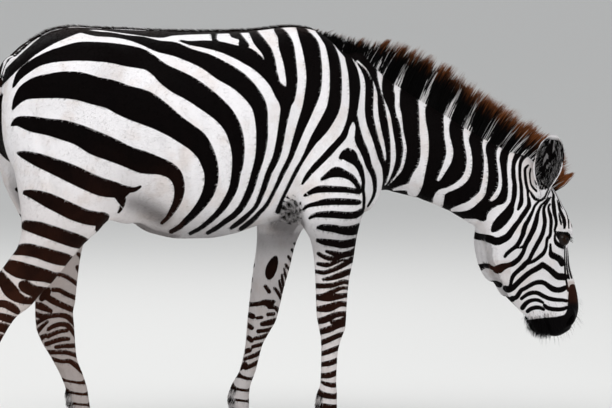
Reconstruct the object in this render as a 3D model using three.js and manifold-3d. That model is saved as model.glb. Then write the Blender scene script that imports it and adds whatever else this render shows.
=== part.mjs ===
// A standing, grazing plains zebra, life size, in millimetres.
// +Z is up, the head is towards +X and the animal's right side is at -Y.
// The body is one smooth field made of lofts (stations of outline and width).
// It is meshed and then parted with thin cuts.
import * as THREE from 'three';
import { mergeVertices } from 'three/addons/utils/BufferGeometryUtils.js';
import Module from 'manifold-3d';

const wasm = await Module();
wasm.setup();

// ---------------------------------------------------------------- driving dimensions
const GAP = 0.3;
const SEAT_CLEARANCE = 0.8;
const LEG_CUT_HEIGHT = 640;
const CORONET_HEIGHT = 56;
const NECK_CUT = { upper: [1010, 1330], lower: [1212, 770] };
const HEAD_CUT = { upper: [1655, 915], lower: [1536, 645] };
const POLL = { x: 1702, y: 12, z: 869 };
const HEAD_PITCH = 13;
const HEAD_YAW = 8;
const NECK_PITCH = 31;
const EYE_RADIUS = 20.5;
const EYE = { along: 252, rise: 40, side: 83 };
const EAR_LENGTH = 182;
const EAR_WIDTH = 104;
const EAR_WALL = 6;
const HOOF_SLOPE = 0.55;
const HOOF_HEEL_SHARE = 0.86;
const MANE_SWAY = { from: 1500, neck: 0.0336, head: 0.12 };
const ROUGHNESS = { coat: 0.85, hair: 0.9, horn: 0.5, eye: 0.15 };

const CELL = {
  trunk: [76, 58, 58], neck: [60, 48, 48], head: [28, 26, 33], leg: [22, 22, 44],
};

const degrees = (angle) => THREE.MathUtils.degToRad(angle);

// ---------------------------------------------------------------- smooth curves through stations
// A table of stations becomes one function of position that returns every column, without overshoot.
function stationCurve(rows) {
  const positions = rows.map((row) => row[0]);
  const columns = rows[0].length - 1;
  const slopes = [];
  for (let column = 1; column <= columns; column += 1) {
    const steps = [];
    for (let i = 0; i < rows.length - 1; i += 1) {
      steps.push((rows[i + 1][column] - rows[i][column]) / (positions[i + 1] - positions[i]));
    }
    slopes.push(rows.map((row, i) => {
      if (i === 0) return steps[0];
      if (i === rows.length - 1) return steps[i - 1];
      if (steps[i - 1] * steps[i] <= 0) return 0;
      return (2 * steps[i - 1] * steps[i]) / (steps[i - 1] + steps[i]);
    }));
  }
  return (position) => {
    const place = THREE.MathUtils.clamp(position, positions[0], positions[positions.length - 1]);
    let i = 0;
    while (i < positions.length - 2 && place > positions[i + 1]) i += 1;
    const span = positions[i + 1] - positions[i];
    const t = (place - positions[i]) / span;
    const values = [];
    for (let column = 1; column <= columns; column += 1) {
      const slope = slopes[column - 1];
      const rise = t * t * (3 - 2 * t);
      const leave = t * (1 - t) * (1 - t) * span * slope[i];
      const arrive = t * t * (t - 1) * span * slope[i + 1];
      values.push(rows[i][column] + (rows[i + 1][column] - rows[i][column]) * rise + leave + arrive);
    }
    return values;
  };
}

// ---------------------------------------------------------------- frames: (x, y, z) to (along, rise, side)
const trunkFrame = (x, y, z) => [x, z, y];
const legFrame = (x, y, z) => [z, x, y];

function neckFrame(x, y, z) {
  const dx = x - 1100;
  const dz = z - 1000;
  const cos = Math.cos(degrees(NECK_PITCH));
  const sin = Math.sin(degrees(NECK_PITCH));
  return [dx * cos - dz * sin, dx * sin + dz * cos, y];
}

// The head's frame starts at the poll: along runs down the face, rise points out of the forehead.
function headFrame(x, y, z) {
  const dx = x - POLL.x;
  const dy = y - POLL.y;
  const dz = z - POLL.z;
  const ahead = dx * Math.cos(degrees(HEAD_YAW)) + dy * Math.sin(degrees(HEAD_YAW));
  const side = dy * Math.cos(degrees(HEAD_YAW)) - dx * Math.sin(degrees(HEAD_YAW));
  const cos = Math.cos(degrees(HEAD_PITCH));
  const sin = Math.sin(degrees(HEAD_PITCH));
  return [ahead * sin - dz * cos, ahead * cos + dz * sin, side];
}

function headPoint(along, rise, side) {
  const cos = Math.cos(degrees(HEAD_PITCH));
  const sin = Math.sin(degrees(HEAD_PITCH));
  const ahead = along * sin + rise * cos;
  const yawCos = Math.cos(degrees(HEAD_YAW));
  const yawSin = Math.sin(degrees(HEAD_YAW));
  return new THREE.Vector3(
    POLL.x + ahead * yawCos - side * yawSin,
    POLL.y + ahead * yawSin + side * yawCos,
    POLL.z - along * cos + rise * sin,
  );
}

// ---------------------------------------------------------------- primitive fields, negative inside
// A loft has rows [along, upper edge, lower edge, side of centre, half width] and rounded ends.
// widest moves the fullest part of the section up (+) or down (-); square above 2 flattens its flanks.
function loft({ frame, rows, ends = [40, 40], widest = 0, square = 2.2, blend = 30 }) {
  const curve = stationCurve(rows);
  const first = rows[0][0];
  const last = rows[rows.length - 1][0];
  const distance = (x, y, z) => {
    const [along, rise, side] = frame(x, y, z);
    const [upper, lower, middle, half] = curve(along);
    const centre = (upper + lower) / 2 + (widest * (upper - lower)) / 2;
    const up = Math.max(1, rise > centre ? upper - centre : centre - lower);
    const beyond = along < first ? (first - along) / ends[0] : Math.max(0, (along - last) / ends[1]);
    const reach = along < first ? ends[0] : ends[1];
    const a = Math.abs(side - middle) / half;
    const b = Math.abs(rise - centre) / up;
    const sum = a ** square + b ** square + beyond ** square;
    const ratio = Math.max(sum, 1e-9) ** (1 / square);
    const fade = ratio ** (1 - square);
    const power = square - 1;
    const slope = fade * Math.hypot(a ** power / half, b ** power / up, beyond ** power / reach);
    const inside = -Math.min(half, up);
    return ratio < 0.3 ? inside * (1 - ratio) : Math.max(inside, (ratio - 1) / Math.max(slope, 1e-6));
  };
  return { distance, blend };
}

// An egg-shaped muscle or bone end, given in a frame.
function lump({ frame, at, size, blend = 20 }) {
  const distance = (x, y, z) => {
    const p = frame(x, y, z);
    const q = [0, 1, 2].map((i) => (p[i] - at[i]) / size[i]);
    const ratio = Math.hypot(...q);
    const slope = Math.hypot(...q.map((value, i) => value / size[i])) / Math.max(ratio, 1e-6);
    return (ratio - 1) / Math.max(slope, 1e-6);
  };
  return { distance, blend };
}

// ---------------------------------------------------------------- body plan
const trunk = loft({
  frame: trunkFrame, ends: [54, 60], widest: -0.06, square: 2.25, blend: 40,
  rows: [
    [62, 1232, 900, 0, 168],
    [122, 1283, 850, 0, 206],
    [184, 1314, 800, 0, 225],
    [248, 1323, 765, 0, 233],
    [310, 1319, 742, 0, 233],
    [412, 1314, 703, 0, 244],
    [499, 1309, 667, 0, 266],
    [580, 1306, 652, 0, 279],
    [660, 1305, 652, 0, 283],
    [740, 1305, 664, 0, 275],
    [821, 1308, 688, 0, 253],
    [880, 1314, 700, 0, 226],
    [935, 1318, 700, 0, 197],
    [992, 1312, 694, 0, 176],
    [1053, 1280, 706, 0, 162],
    [1114, 1200, 722, 0, 146],
    [1150, 1110, 740, 0, 126],
  ],
});

const neck = loft({
  frame: neckFrame, ends: [90, 60], widest: -0.16, square: 2.15, blend: 60,
  rows: [
    [-60, 232, -215, 0, 118],
    [0, 214, -218, 0, 120],
    [60, 204, -188, 0, 114],
    [120, 202, -148, 0, 104],
    [190, 201, -116, 0, 96],
    [270, 202, -94, 0, 88],
    [340, 200, -76, 0, 83],
    [410, 202, -64, 2, 79],
    [480, 206, -60, 5, 77],
    [545, 212, -58, 8, 76],
    [590, 200, -40, 10, 72],
  ],
});

// Skull and face: upper edge is the forehead and nose, lower edge the jaw.
const head = loft({
  frame: headFrame, ends: [52, 22], widest: 0.34, square: 2.35, blend: 30,
  rows: [
    [18, 24, -112, 0, 62],
    [75, 58, -138, 0, 76],
    [112, 76, -160, 0, 82],
    [153, 88, -186, 0, 86],
    [188, 98, -200, 0, 88],
    [218, 97, -206, 0, 87],
    [250, 90, -210, 0, 83],
    [300, 77, -203, 0, 74],
    [350, 73, -180, 0, 63],
    [395, 77, -159, 0, 54],
    [440, 79, -130, 0, 48],
    [480, 76, -103, 0, 46],
    [512, 64, -80, 0, 45],
    [536, 36, -58, 0, 40],
  ],
});

function headLumps(side) {
  const lumps = [
    // jaw muscle
    { at: [205, -105, 46 * side], size: [86, 96, 44], blend: 26 },
    // bony rim over the eye, and the cheek bone under it
    { at: [220, 58, 76 * side], size: [42, 24, 25], blend: 16 },
    { at: [264, 18, 72 * side], size: [46, 24, 21], blend: 18 },
    // crest that runs from the cheek bone along the face
    { at: [300, -10, 62 * side], size: [62, 14, 14], blend: 18 },
    // nostril wing and upper lip
    { at: [505, 12, 40 * side], size: [32, 32, 19], blend: 18 },
    { at: [532, -22, 26 * side], size: [27, 36, 24], blend: 16 },
    // lower lip
    { at: [504, -70, 17 * side], size: [38, 26, 25], blend: 20 },
    // lower edge of the jaw bone
    { at: [258, -174, 48 * side], size: [88, 38, 24], blend: 22 },
    { at: [345, -146, 36 * side], size: [56, 26, 18], blend: 18 },
    // base of the ear
    { at: [94, 4, 58 * side], size: [34, 34, 28], blend: 18 },
  ];
  return lumps.map((one) => lump({ frame: headFrame, ...one }));
}

// Legs have rows [height, front edge, back edge, side of centre, half width].
const frontLegRows = {
  right: [
    [0, 1078, 1024, 108, 30],
    [56, 1078, 1014, 108, 31],
    [95, 1064, 1006, 108, 29],
    [135, 1062, 996, 108, 34],
    [162, 1062, 997, 108, 34],
    [200, 1060, 1008, 109, 27],
    [290, 1064, 1010, 110, 27],
    [335, 1074, 1009, 111, 33],
    [375, 1088, 1002, 112, 41],
    [410, 1091, 995, 113, 42],
    [450, 1093, 992, 115, 41],
    [520, 1099, 989, 118, 47],
    [590, 1112, 984, 122, 57],
    [650, 1120, 972, 126, 68],
    [710, 1134, 938, 126, 80],
    [780, 1158, 905, 116, 88],
    [860, 1160, 885, 104, 94],
    [960, 1130, 868, 92, 92],
    [1060, 1090, 868, 80, 84],
    [1150, 1044, 880, 66, 72],
  ],
  left: [
    [0, 838, 784, 108, 30],
    [56, 838, 774, 108, 31],
    [95, 824, 767, 108, 29],
    [135, 824, 758, 108, 34],
    [162, 826, 762, 108, 34],
    [220, 846, 792, 109, 27],
    [300, 868, 811, 110, 28],
    [340, 890, 815, 111, 34],
    [378, 912, 818, 112, 41],
    [415, 923, 822, 113, 42],
    [475, 938, 829, 115, 42],
    [550, 960, 839, 118, 49],
    [611, 976, 849, 122, 58],
    [660, 998, 852, 126, 68],
    [715, 1050, 850, 126, 80],
    [780, 1110, 850, 116, 88],
    [860, 1140, 858, 104, 94],
    [960, 1124, 862, 92, 92],
    [1060, 1088, 868, 80, 84],
    [1150, 1044, 880, 66, 72],
  ],
};

const hindLegRows = {
  right: [
    [0, -46, -102, 112, 30],
    [56, -50, -116, 112, 31],
    [100, -62, -124, 112, 29],
    [145, -68, -138, 112, 34],
    [172, -64, -133, 112, 34],
    [220, -56, -112, 112, 27],
    [330, -14, -74, 113, 28],
    [380, 12, -48, 114, 33],
    [429, 46, -30, 115, 38],
    [464, 92, -27, 116, 42],
    [500, 124, -27, 117, 41],
    [540, 164, -23, 119, 44],
    [600, 212, 14, 122, 56],
    [650, 254, 49, 124, 74],
    [700, 308, 60, 126, 90],
    [750, 350, 58, 127, 100],
    [840, 372, 46, 126, 108],
    [934, 372, 29, 124, 110],
    [1010, 352, 22, 118, 108],
    [1080, 320, 16, 106, 98],
  ],
  left: [
    [0, 338, 282, 112, 30],
    [56, 334, 268, 112, 31],
    [95, 318, 260, 112, 29],
    [140, 310, 240, 112, 34],
    [168, 306, 236, 112, 34],
    [215, 293, 219, 112, 28],
    [275, 272, 188, 113, 30],
    [330, 267, 156, 114, 36],
    [372, 265, 141, 115, 41],
    [415, 262, 138, 116, 42],
    [450, 269, 138, 117, 40],
    [500, 275, 126, 119, 42],
    [560, 283, 125, 122, 50],
    [620, 294, 118, 124, 66],
    [680, 318, 112, 126, 86],
    [740, 350, 84, 127, 98],
    [840, 372, 38, 126, 108],
    [934, 372, 20, 124, 110],
    [1010, 352, 18, 118, 108],
    [1080, 320, 16, 106, 98],
  ],
};

function leg(rows, sideSign, square) {
  const placed = rows.map(([height, front, back, side, half]) => (
    [height, front, back, side * sideSign, half]));
  return loft({ frame: legFrame, rows: placed, ends: [20, 70], square, blend: 34 });
}

const legs = {
  front_right: leg(frontLegRows.right, -1, 2.2),
  front_left: leg(frontLegRows.left, 1, 2.2),
  hind_right: leg(hindLegRows.right, -1, 2.2),
  hind_left: leg(hindLegRows.left, 1, 2.2),
};

// Muscles and bones that break the outline of the trunk.
function trunkLumps(side) {
  const lumps = [
    // point of the hip, point of the buttock, fold of the flank
    { at: [312, 1215, 150 * side], size: [70, 60, 62], blend: 60 },
    { at: [76, 1010, 96 * side], size: [56, 110, 72], blend: 44 },
    { at: [392, 760, 118 * side], size: [74, 46, 50], blend: 50 },
    // breast muscle and point of the shoulder
    { at: [1128, 800, 62 * side], size: [76, 76, 66], blend: 44 },
    { at: [1112, 900, 104 * side], size: [54, 90, 50], blend: 44 },
    // rump muscle
    { at: [170, 1150, 110 * side], size: [130, 120, 100], blend: 60 },
  ];
  return lumps.map((one) => lump({ frame: trunkFrame, ...one }));
}

const sides = [-1, 1];
const bodyFields = [
  trunk,
  neck,
  head,
  ...sides.flatMap(trunkLumps),
  ...Object.values(legs),
  ...sides.flatMap(headLumps),
];

function bodyDistance(x, y, z) {
  let nearest = 1e6;
  for (const field of bodyFields) {
    const distance = field.distance(x, y, z);
    const overlap = Math.max(field.blend - Math.abs(nearest - distance), 0);
    nearest = Math.min(nearest, distance) - (overlap * overlap) / (4 * field.blend);
  }
  return nearest;
}

// ---------------------------------------------------------------- meshing a field
// Surface nets inside a box: one vertex in every cell the surface crosses, moved onto the surface itself.
function meshField(distance, low, high, cell) {
  const counts = [0, 1, 2].map((i) => Math.ceil((high[i] - low[i]) / cell[i]) + 1);
  const [nx, ny, nz] = counts;
  const node = (i, j, k) => (k * ny + j) * nx + i;
  const place = (i, j, k) => [low[0] + i * cell[0], low[1] + j * cell[1], low[2] + k * cell[2]];
  const values = new Float64Array(nx * ny * nz);
  for (let k = 0; k < nz; k += 1) {
    for (let j = 0; j < ny; j += 1) {
      for (let i = 0; i < nx; i += 1) {
        const border = i === 0 || j === 0 || k === 0 || i === nx - 1 || j === ny - 1 || k === nz - 1;
        const value = distance(...place(i, j, k));
        values[node(i, j, k)] = border ? Math.max(value, cell[0] * 0.3) : value;
      }
    }
  }
  const gradient = (p) => {
    const step = 0.5;
    const parts = [0, 1, 2].map((axis) => {
      const ahead = [...p];
      const behind = [...p];
      ahead[axis] += step;
      behind[axis] -= step;
      return (distance(...ahead) - distance(...behind)) / (2 * step);
    });
    return parts;
  };
  const settle = (start) => {
    let p = [...start];
    for (let turn = 0; turn < 4; turn += 1) {
      const value = distance(...p);
      const slope = gradient(p);
      const scale = value / Math.max(slope[0] ** 2 + slope[1] ** 2 + slope[2] ** 2, 0.05);
      p = p.map((part, axis) => part - slope[axis] * scale);
    }
    const moved = Math.max(...p.map((part, axis) => Math.abs(part - start[axis]) / cell[axis]));
    return moved < 0.7 ? p : start;
  };
  const corners = [0, 1, 2, 3, 4, 5, 6, 7].map((c) => [c & 1, (c >> 1) & 1, (c >> 2) & 1]);
  const edgeKey = (a, b) => Math.min(a, b) * 8 + Math.max(a, b);
  const edges = [];
  for (let a = 0; a < 8; a += 1) {
    for (const bit of [1, 2, 4]) {
      if (!(a & bit)) edges.push([a, a | bit]);
    }
  }
  const faces = [];
  for (const [u, v, w] of [[1, 2, 4], [2, 4, 1], [4, 1, 2]]) {
    faces.push([0, u, u | v, v], [w, w | u, w | u | v, w | v]);
  }
  // Crossed edges of a cell fall into groups, one for each sheet of surface that passes through it.
  const sheetsOf = (at) => {
    const crossed = edges.filter(([a, b]) => at[a] < 0 !== at[b] < 0);
    const group = new Map(crossed.map(([a, b]) => [edgeKey(a, b), edgeKey(a, b)]));
    const link = (one, other) => {
      const from = group.get(one);
      const to = group.get(other);
      for (const [key, value] of group) {
        if (value === from) group.set(key, to);
      }
    };
    for (const face of faces) {
      const keys = face.map((corner, i) => edgeKey(corner, face[(i + 1) % 4]));
      const cut = keys.filter((key) => group.has(key));
      if (cut.length === 2) link(cut[0], cut[1]);
      if (cut.length === 4) {
        const middleInside = face.reduce((sum, corner) => sum + at[corner], 0) < 0;
        face.forEach((corner, i) => {
          if (at[corner] < 0 !== middleInside) link(keys[(i + 3) % 4], keys[i]);
        });
      }
    }
    return { crossed, group };
  };
  const vertexOf = new Map();
  const positions = [];
  for (let k = 0; k < nz - 1; k += 1) {
    for (let j = 0; j < ny - 1; j += 1) {
      for (let i = 0; i < nx - 1; i += 1) {
        const at = corners.map(([a, b, c]) => values[node(i + a, j + b, k + c)]);
        const { crossed, group } = sheetsOf(at);
        for (const sheet of new Set(group.values())) {
          const members = crossed.filter(([a, b]) => group.get(edgeKey(a, b)) === sheet);
          const sum = [0, 0, 0];
          for (const [a, b] of members) {
            const t = at[a] / (at[a] - at[b]);
            for (let axis = 0; axis < 3; axis += 1) {
              sum[axis] += (corners[a][axis] + (corners[b][axis] - corners[a][axis]) * t) / members.length;
            }
            vertexOf.set(node(i, j, k) * 64 + edgeKey(a, b), positions.length / 3);
          }
          positions.push(...settle(place(i + sum[0], j + sum[1], k + sum[2])));
        }
      }
    }
  }
  const triangles = [];
  const strides = [[1, 0, 0], [0, 1, 0], [0, 0, 1]];
  const length = (a, b) => Math.hypot(...[0, 1, 2].map((i) => positions[3 * a + i] - positions[3 * b + i]));
  for (let k = 0; k < nz - 1; k += 1) {
    for (let j = 0; j < ny - 1; j += 1) {
      for (let i = 0; i < nx - 1; i += 1) {
        for (let axis = 0; axis < 3; axis += 1) {
          const [a, b, c] = strides[axis];
          const here = values[node(i, j, k)] < 0;
          if (here === values[node(i + a, j + b, k + c)] < 0) continue;
          const u = strides[(axis + 1) % 3];
          const v = strides[(axis + 2) % 3];
          const quad = [[0, 0], [1, 0], [1, 1], [0, 1]].map(([p, q]) => {
            const cellNode = node(i - p * u[0] - q * v[0], j - p * u[1] - q * v[1], k - p * u[2] - q * v[2]);
            const corner = (bits) => p * bits(u) + q * bits(v);
            const start = corner(([bx, by, bz]) => bx + 2 * by + 4 * bz);
            return vertexOf.get(cellNode * 64 + edgeKey(start, start + a + 2 * b + 4 * c));
          });
          if (!here) quad.reverse();
          const [q0, q1, q2, q3] = quad;
          if (length(q0, q2) <= length(q1, q3)) triangles.push(q0, q1, q2, q0, q2, q3);
          else triangles.push(q1, q2, q3, q1, q3, q0);
        }
      }
    }
  }
  const geometry = new THREE.BufferGeometry();
  geometry.setAttribute('position', new THREE.Float32BufferAttribute(positions, 3));
  geometry.setIndex(triangles);
  return geometry;
}

// ---------------------------------------------------------------- closed lofts from rings of points
// Rings are lists of vectors of equal length; the ends are closed with a fan about their middle.
function ringSolid(rings) {
  const count = rings[0].length;
  const positions = rings.flat().flatMap((point) => point.toArray());
  const triangles = [];
  for (let r = 0; r < rings.length - 1; r += 1) {
    for (let i = 0; i < count; i += 1) {
      const a = r * count + i;
      const b = r * count + ((i + 1) % count);
      triangles.push(a, b, b + count, a, b + count, a + count);
    }
  }
  const closeEnd = (r, flip) => {
    const middle = rings[r].reduce((sum, point) => sum.add(point), new THREE.Vector3()).divideScalar(count);
    const centre = positions.length / 3;
    positions.push(...middle.toArray());
    for (let i = 0; i < count; i += 1) {
      const a = r * count + i;
      const b = r * count + ((i + 1) % count);
      triangles.push(...(flip ? [centre, b, a] : [centre, a, b]));
    }
  };
  closeEnd(0, true);
  closeEnd(rings.length - 1, false);
  const geometry = new THREE.BufferGeometry();
  geometry.setAttribute('position', new THREE.Float32BufferAttribute(positions, 3));
  geometry.setIndex(triangles);
  return geometry;
}

// ---------------------------------------------------------------- joining and cutting
function toManifold(geometry) {
  const bare = new THREE.BufferGeometry();
  bare.setAttribute('position', geometry.getAttribute('position').clone());
  bare.setIndex(geometry.getIndex());
  const merged = mergeVertices(bare, 1e-4);
  const solid = new wasm.Manifold(new wasm.Mesh({
    numProp: 3,
    vertProperties: new Float32Array(merged.getAttribute('position').array),
    triVerts: new Uint32Array(merged.getIndex().array),
  }));
  return solid.volume() < 0 ? toManifold(flipped(geometry)) : solid;
}

function flipped(geometry) {
  const copy = geometry.clone();
  const index = Array.from(copy.getIndex().array);
  for (let i = 0; i < index.length; i += 3) {
    [index[i], index[i + 1]] = [index[i + 1], index[i]];
  }
  copy.setIndex(index);
  return copy;
}

function toGeometry(solid) {
  const mesh = solid.getMesh();
  const geometry = new THREE.BufferGeometry();
  geometry.setAttribute('position', new THREE.Float32BufferAttribute(mesh.vertProperties, 3));
  geometry.setIndex(Array.from(mesh.triVerts));
  return geometry;
}

// Keeps what lies on the side a direction points to, half the gap clear of the plane through a point.
function keepSide(solid, point, direction) {
  const normal = direction.clone().normalize();
  return solid.trimByPlane(normal.toArray(), normal.dot(point) + GAP / 2);
}

function parting({ upper, lower }) {
  const point = new THREE.Vector3(lower[0], 0, lower[1]);
  const ahead = new THREE.Vector3(upper[1] - lower[1], 0, lower[0] - upper[0]);
  return { point, ahead, behind: ahead.clone().negate() };
}

function largestPiece(solid) {
  const pieces = solid.decompose();
  return pieces.reduce((best, piece) => (piece.volume() > best.volume() ? piece : best));
}

// ---------------------------------------------------------------- flesh
const fleshBoxes = {
  trunk: { low: [-90, -345, 520], high: [1330, 345, 1400], cell: CELL.trunk },
  neck: { low: [930, -270, 560], high: [1760, 290, 1420], cell: CELL.neck },
  head: { low: [1470, -170, 270], high: [1930, 230, 975], cell: CELL.head },
};

const fleshMeshes = {};
for (const [name, { low, high, cell }] of Object.entries(fleshBoxes)) {
  fleshMeshes[name] = meshField(bodyDistance, low, high, cell);
}

// The same flesh with every vertex moved outwards, used to seat mane, ears and tail clear of it.
function swollenSolid(name) {
  const geometry = fleshMeshes[name].clone();
  geometry.computeVertexNormals();
  const position = geometry.getAttribute('position');
  const normal = geometry.getAttribute('normal');
  for (let i = 0; i < position.count; i += 1) {
    const moved = new THREE.Vector3().fromBufferAttribute(position, i);
    moved.addScaledVector(new THREE.Vector3().fromBufferAttribute(normal, i), SEAT_CLEARANCE);
    position.setXYZ(i, moved.x, moved.y, moved.z);
  }
  return toManifold(geometry);
}

const neckParting = parting(NECK_CUT);
const headParting = parting(HEAD_CUT);
const legLevel = new THREE.Vector3(0, 0, LEG_CUT_HEIGHT);
const upward = new THREE.Vector3(0, 0, 1);
const downward = new THREE.Vector3(0, 0, -1);

function trunkSolid() {
  const cut = keepSide(toManifold(fleshMeshes.trunk), neckParting.point, neckParting.behind);
  return largestPiece(keepSide(cut, legLevel, upward));
}

function neckSolid() {
  const ahead = keepSide(toManifold(fleshMeshes.neck), neckParting.point, neckParting.ahead);
  return largestPiece(keepSide(ahead, headParting.point, headParting.behind));
}

function headSolid() {
  return largestPiece(keepSide(toManifold(fleshMeshes.head), headParting.point, headParting.ahead));
}

function legSolid(name) {
  const [end, side] = name.split('_');
  const sideSign = side === 'right' ? -1 : 1;
  const rows = (end === 'front' ? frontLegRows : hindLegRows)[side];
  const lower = rows.filter(([height]) => height <= LEG_CUT_HEIGHT + 70);
  const front = Math.max(...lower.map((row) => row[1]));
  const back = Math.min(...lower.map((row) => row[2]));
  const inner = 8 * sideSign;
  const outer = 252 * sideSign;
  const low = [back - 40, Math.min(inner, outer), -60];
  const high = [front + 50, Math.max(inner, outer), LEG_CUT_HEIGHT + 3 * CELL.leg[2]];
  const whole = toManifold(meshField(bodyDistance, low, high, CELL.leg));
  const topped = keepSide(whole, legLevel, downward);
  return largestPiece(keepSide(topped, new THREE.Vector3(0, 0, CORONET_HEIGHT), upward));
}

// ---------------------------------------------------------------- hooves
// Rings follow a rounded toe and a flatter heel; the wall leans back from the toe as it rises.
function hoofSolid(rows, sideSign) {
  const [, front, back, side, half] = rows[1];
  const middle = (front + back) / 2;
  const ring = (height, spread) => {
    const shift = middle - (height - CORONET_HEIGHT) * HOOF_SLOPE * 0.62;
    const points = [];
    for (let i = 0; i < 16; i += 1) {
      const angle = (i / 16) * 2 * Math.PI;
      const toe = Math.cos(angle) > 0 ? 1 : HOOF_HEEL_SHARE;
      const long = ((front - back) / 2 + spread) * toe * Math.cos(angle);
      const wide = (half + spread * 0.78) * Math.sin(angle) * (1 - 0.08 * Math.cos(angle));
      points.push(new THREE.Vector3(shift + long, side * sideSign + wide, height));
    }
    return points;
  };
  return ringSolid([
    ring(0, 13.5), ring(3, 14.5), ring(CORONET_HEIGHT * 0.6, 7), ring(CORONET_HEIGHT - GAP, 2.5),
  ]);
}

// ---------------------------------------------------------------- ears
// A cupped leaf: an arc that opens outwards, with a wall of even thickness, narrow at root and tip.
function earSolid(sideSign) {
  const root = headPoint(76, 8, 66 * sideSign);
  const tip = headPoint(-80, 74, 98 * sideSign);
  const axis = tip.clone().sub(root).normalize();
  const opening = headPoint(0, 5, 100 * sideSign).sub(headPoint(0, 0, 0)).normalize();
  opening.addScaledVector(axis, -opening.dot(axis)).normalize();
  const across = new THREE.Vector3().crossVectors(axis, opening);
  const shape = stationCurve([
    [-0.12, 0.38, 0.62, 2.5],
    [0.0, 0.46, 0.66, 2.35],
    [0.18, 0.72, 0.74, 1.9],
    [0.4, 0.98, 0.66, 1.62],
    [0.58, 1.0, 0.54, 1.5],
    [0.76, 0.84, 0.4, 1.45],
    [0.9, 0.52, 0.26, 1.4],
    [0.985, 0.16, 0.12, 1.4],
  ]);
  const rings = [];
  const steps = 8;
  const arc = 6;
  for (let r = 0; r <= steps; r += 1) {
    const u = -0.12 + (1.105 * r) / steps;
    const [wide, deep, sweep] = shape(u);
    const centre = root.clone().addScaledVector(axis, u * EAR_LENGTH);
    centre.addScaledVector(opening, 16 - 12 * u * u);
    const wall = EAR_WALL * Math.min(1, 0.35 + wide);
    const ring = [];
    const arcPoint = (angle, inset) => {
      const half = (EAR_WIDTH / 2) * wide - inset;
      const depth = (EAR_WIDTH / 2) * deep - inset;
      const scale = sweep > Math.PI / 2 ? 1 : 1 / Math.sin(sweep);
      return centre.clone()
        .addScaledVector(across, Math.max(half, 0.6) * Math.sin(angle) * scale)
        .addScaledVector(opening, -Math.max(depth, 0.5) * Math.cos(angle));
    };
    for (let i = 0; i <= arc; i += 1) ring.push(arcPoint(-sweep + (2 * sweep * i) / arc, 0));
    for (let i = arc; i >= 0; i -= 1) ring.push(arcPoint(-sweep + (2 * sweep * i) / arc, wall));
    rings.push(ring);
  }
  return ringSolid(rings);
}

// ---------------------------------------------------------------- eyes
function eyeSolid(sideSign, grow) {
  const ball = new THREE.SphereGeometry(EYE_RADIUS + grow, 12, 8);
  const centre = headPoint(EYE.along, EYE.rise, EYE.side * sideSign);
  ball.translate(centre.x, centre.y, centre.z);
  return toManifold(ball);
}

// ---------------------------------------------------------------- mane and forelock
// Rows: distance order, root point, tip point, half thickness at the root and near the tip.
function maneSolid() {
  const rows = stationCurve([
    [0, 985, 1290, 1008, 1314, 8, 3],
    [1, 1060, 1248, 1092, 1299, 16, 5],
    [2, 1130, 1188, 1182, 1284, 22, 7],
    [3, 1210, 1135, 1264, 1272, 24, 8],
    [4, 1300, 1082, 1362, 1240, 25, 9],
    [5, 1390, 1026, 1446, 1193, 25, 9],
    [6, 1480, 970, 1540, 1130, 25, 9],
    [7, 1570, 914, 1640, 1068, 26, 10],
    [8, 1650, 866, 1742, 1000, 26, 12],
    [9, 1700, 838, 1812, 950, 26, 12],
    [10, 1732, 812, 1852, 884, 27, 11],
    [11, 1752, 776, 1850, 832, 24, 9],
    [12, 1764, 748, 1802, 790, 14, 5],
  ]);
  const lastRow = 12;
  const steps = 13;
  // Height up the hair against the share of the root's extra thickness that is left there.
  const profile = [[-0.1, 1], [0.25, 0.96], [0.6, 0.72], [0.88, 0.42], [1, 0]];
  const edgeShare = 0.35;
  // The middle of the mane follows the neck and then the head as they turn to the left.
  const sway = (x) => (
    MANE_SWAY.neck * Math.max(0, x - MANE_SWAY.from) + MANE_SWAY.head * Math.max(0, x - POLL.x));
  const rings = [];
  for (let i = 0; i <= steps; i += 1) {
    const [rootX, rootZ, tipX, tipZ, thickRoot, thickTip] = rows((lastRow * i) / steps);
    const point = ([up, share], sign) => {
      const x = THREE.MathUtils.lerp(rootX, tipX, up);
      const z = THREE.MathUtils.lerp(rootZ, tipZ, up);
      const half = up === 1 ? thickTip * edgeShare : thickTip + (thickRoot - thickTip) * share;
      return new THREE.Vector3(x, sway(x) + sign * half, z);
    };
    const leftSide = profile.map((height) => point(height, 1));
    const rightSide = [...profile].reverse().map((height) => point(height, -1));
    rings.push([...leftSide, ...rightSide]);
  }
  return ringSolid(rings);
}

// ---------------------------------------------------------------- tail
// Rows: order along the tail, centre x, centre z, half depth, half width.
function tailSolid(rows, from, to, steps) {
  const curve = stationCurve(rows);
  const rings = [];
  for (let r = 0; r <= steps; r += 1) {
    const place = from + ((to - from) * r) / steps;
    const [x, z, deep, wide] = curve(place);
    const [aheadX, aheadZ] = curve(place + 0.05);
    const [behindX, behindZ] = curve(place - 0.05);
    const run = new THREE.Vector3(aheadX - behindX, 0, aheadZ - behindZ).normalize();
    const back = new THREE.Vector3(run.z, 0, -run.x);
    const ring = [];
    for (let i = 0; i < 12; i += 1) {
      const angle = (i / 12) * 2 * Math.PI;
      const point = new THREE.Vector3(x, 0, z).addScaledVector(back, deep * Math.cos(angle));
      point.y += wide * Math.sin(angle);
      ring.push(point);
    }
    rings.push(ring);
  }
  return ringSolid(rings);
}

const tailRows = [
  [0, 40, 1150, 40, 44],
  [1, -10, 1116, 36, 40],
  [2, -52, 1062, 30, 34],
  [3, -72, 980, 26, 29],
  [4, -80, 880, 23, 25],
  [5, -82, 780, 24, 27],
  [6, -80, 690, 34, 36],
  [7, -76, 600, 38, 40],
  [8, -72, 520, 30, 32],
  [9, -70, 452, 8, 9],
];

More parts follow.
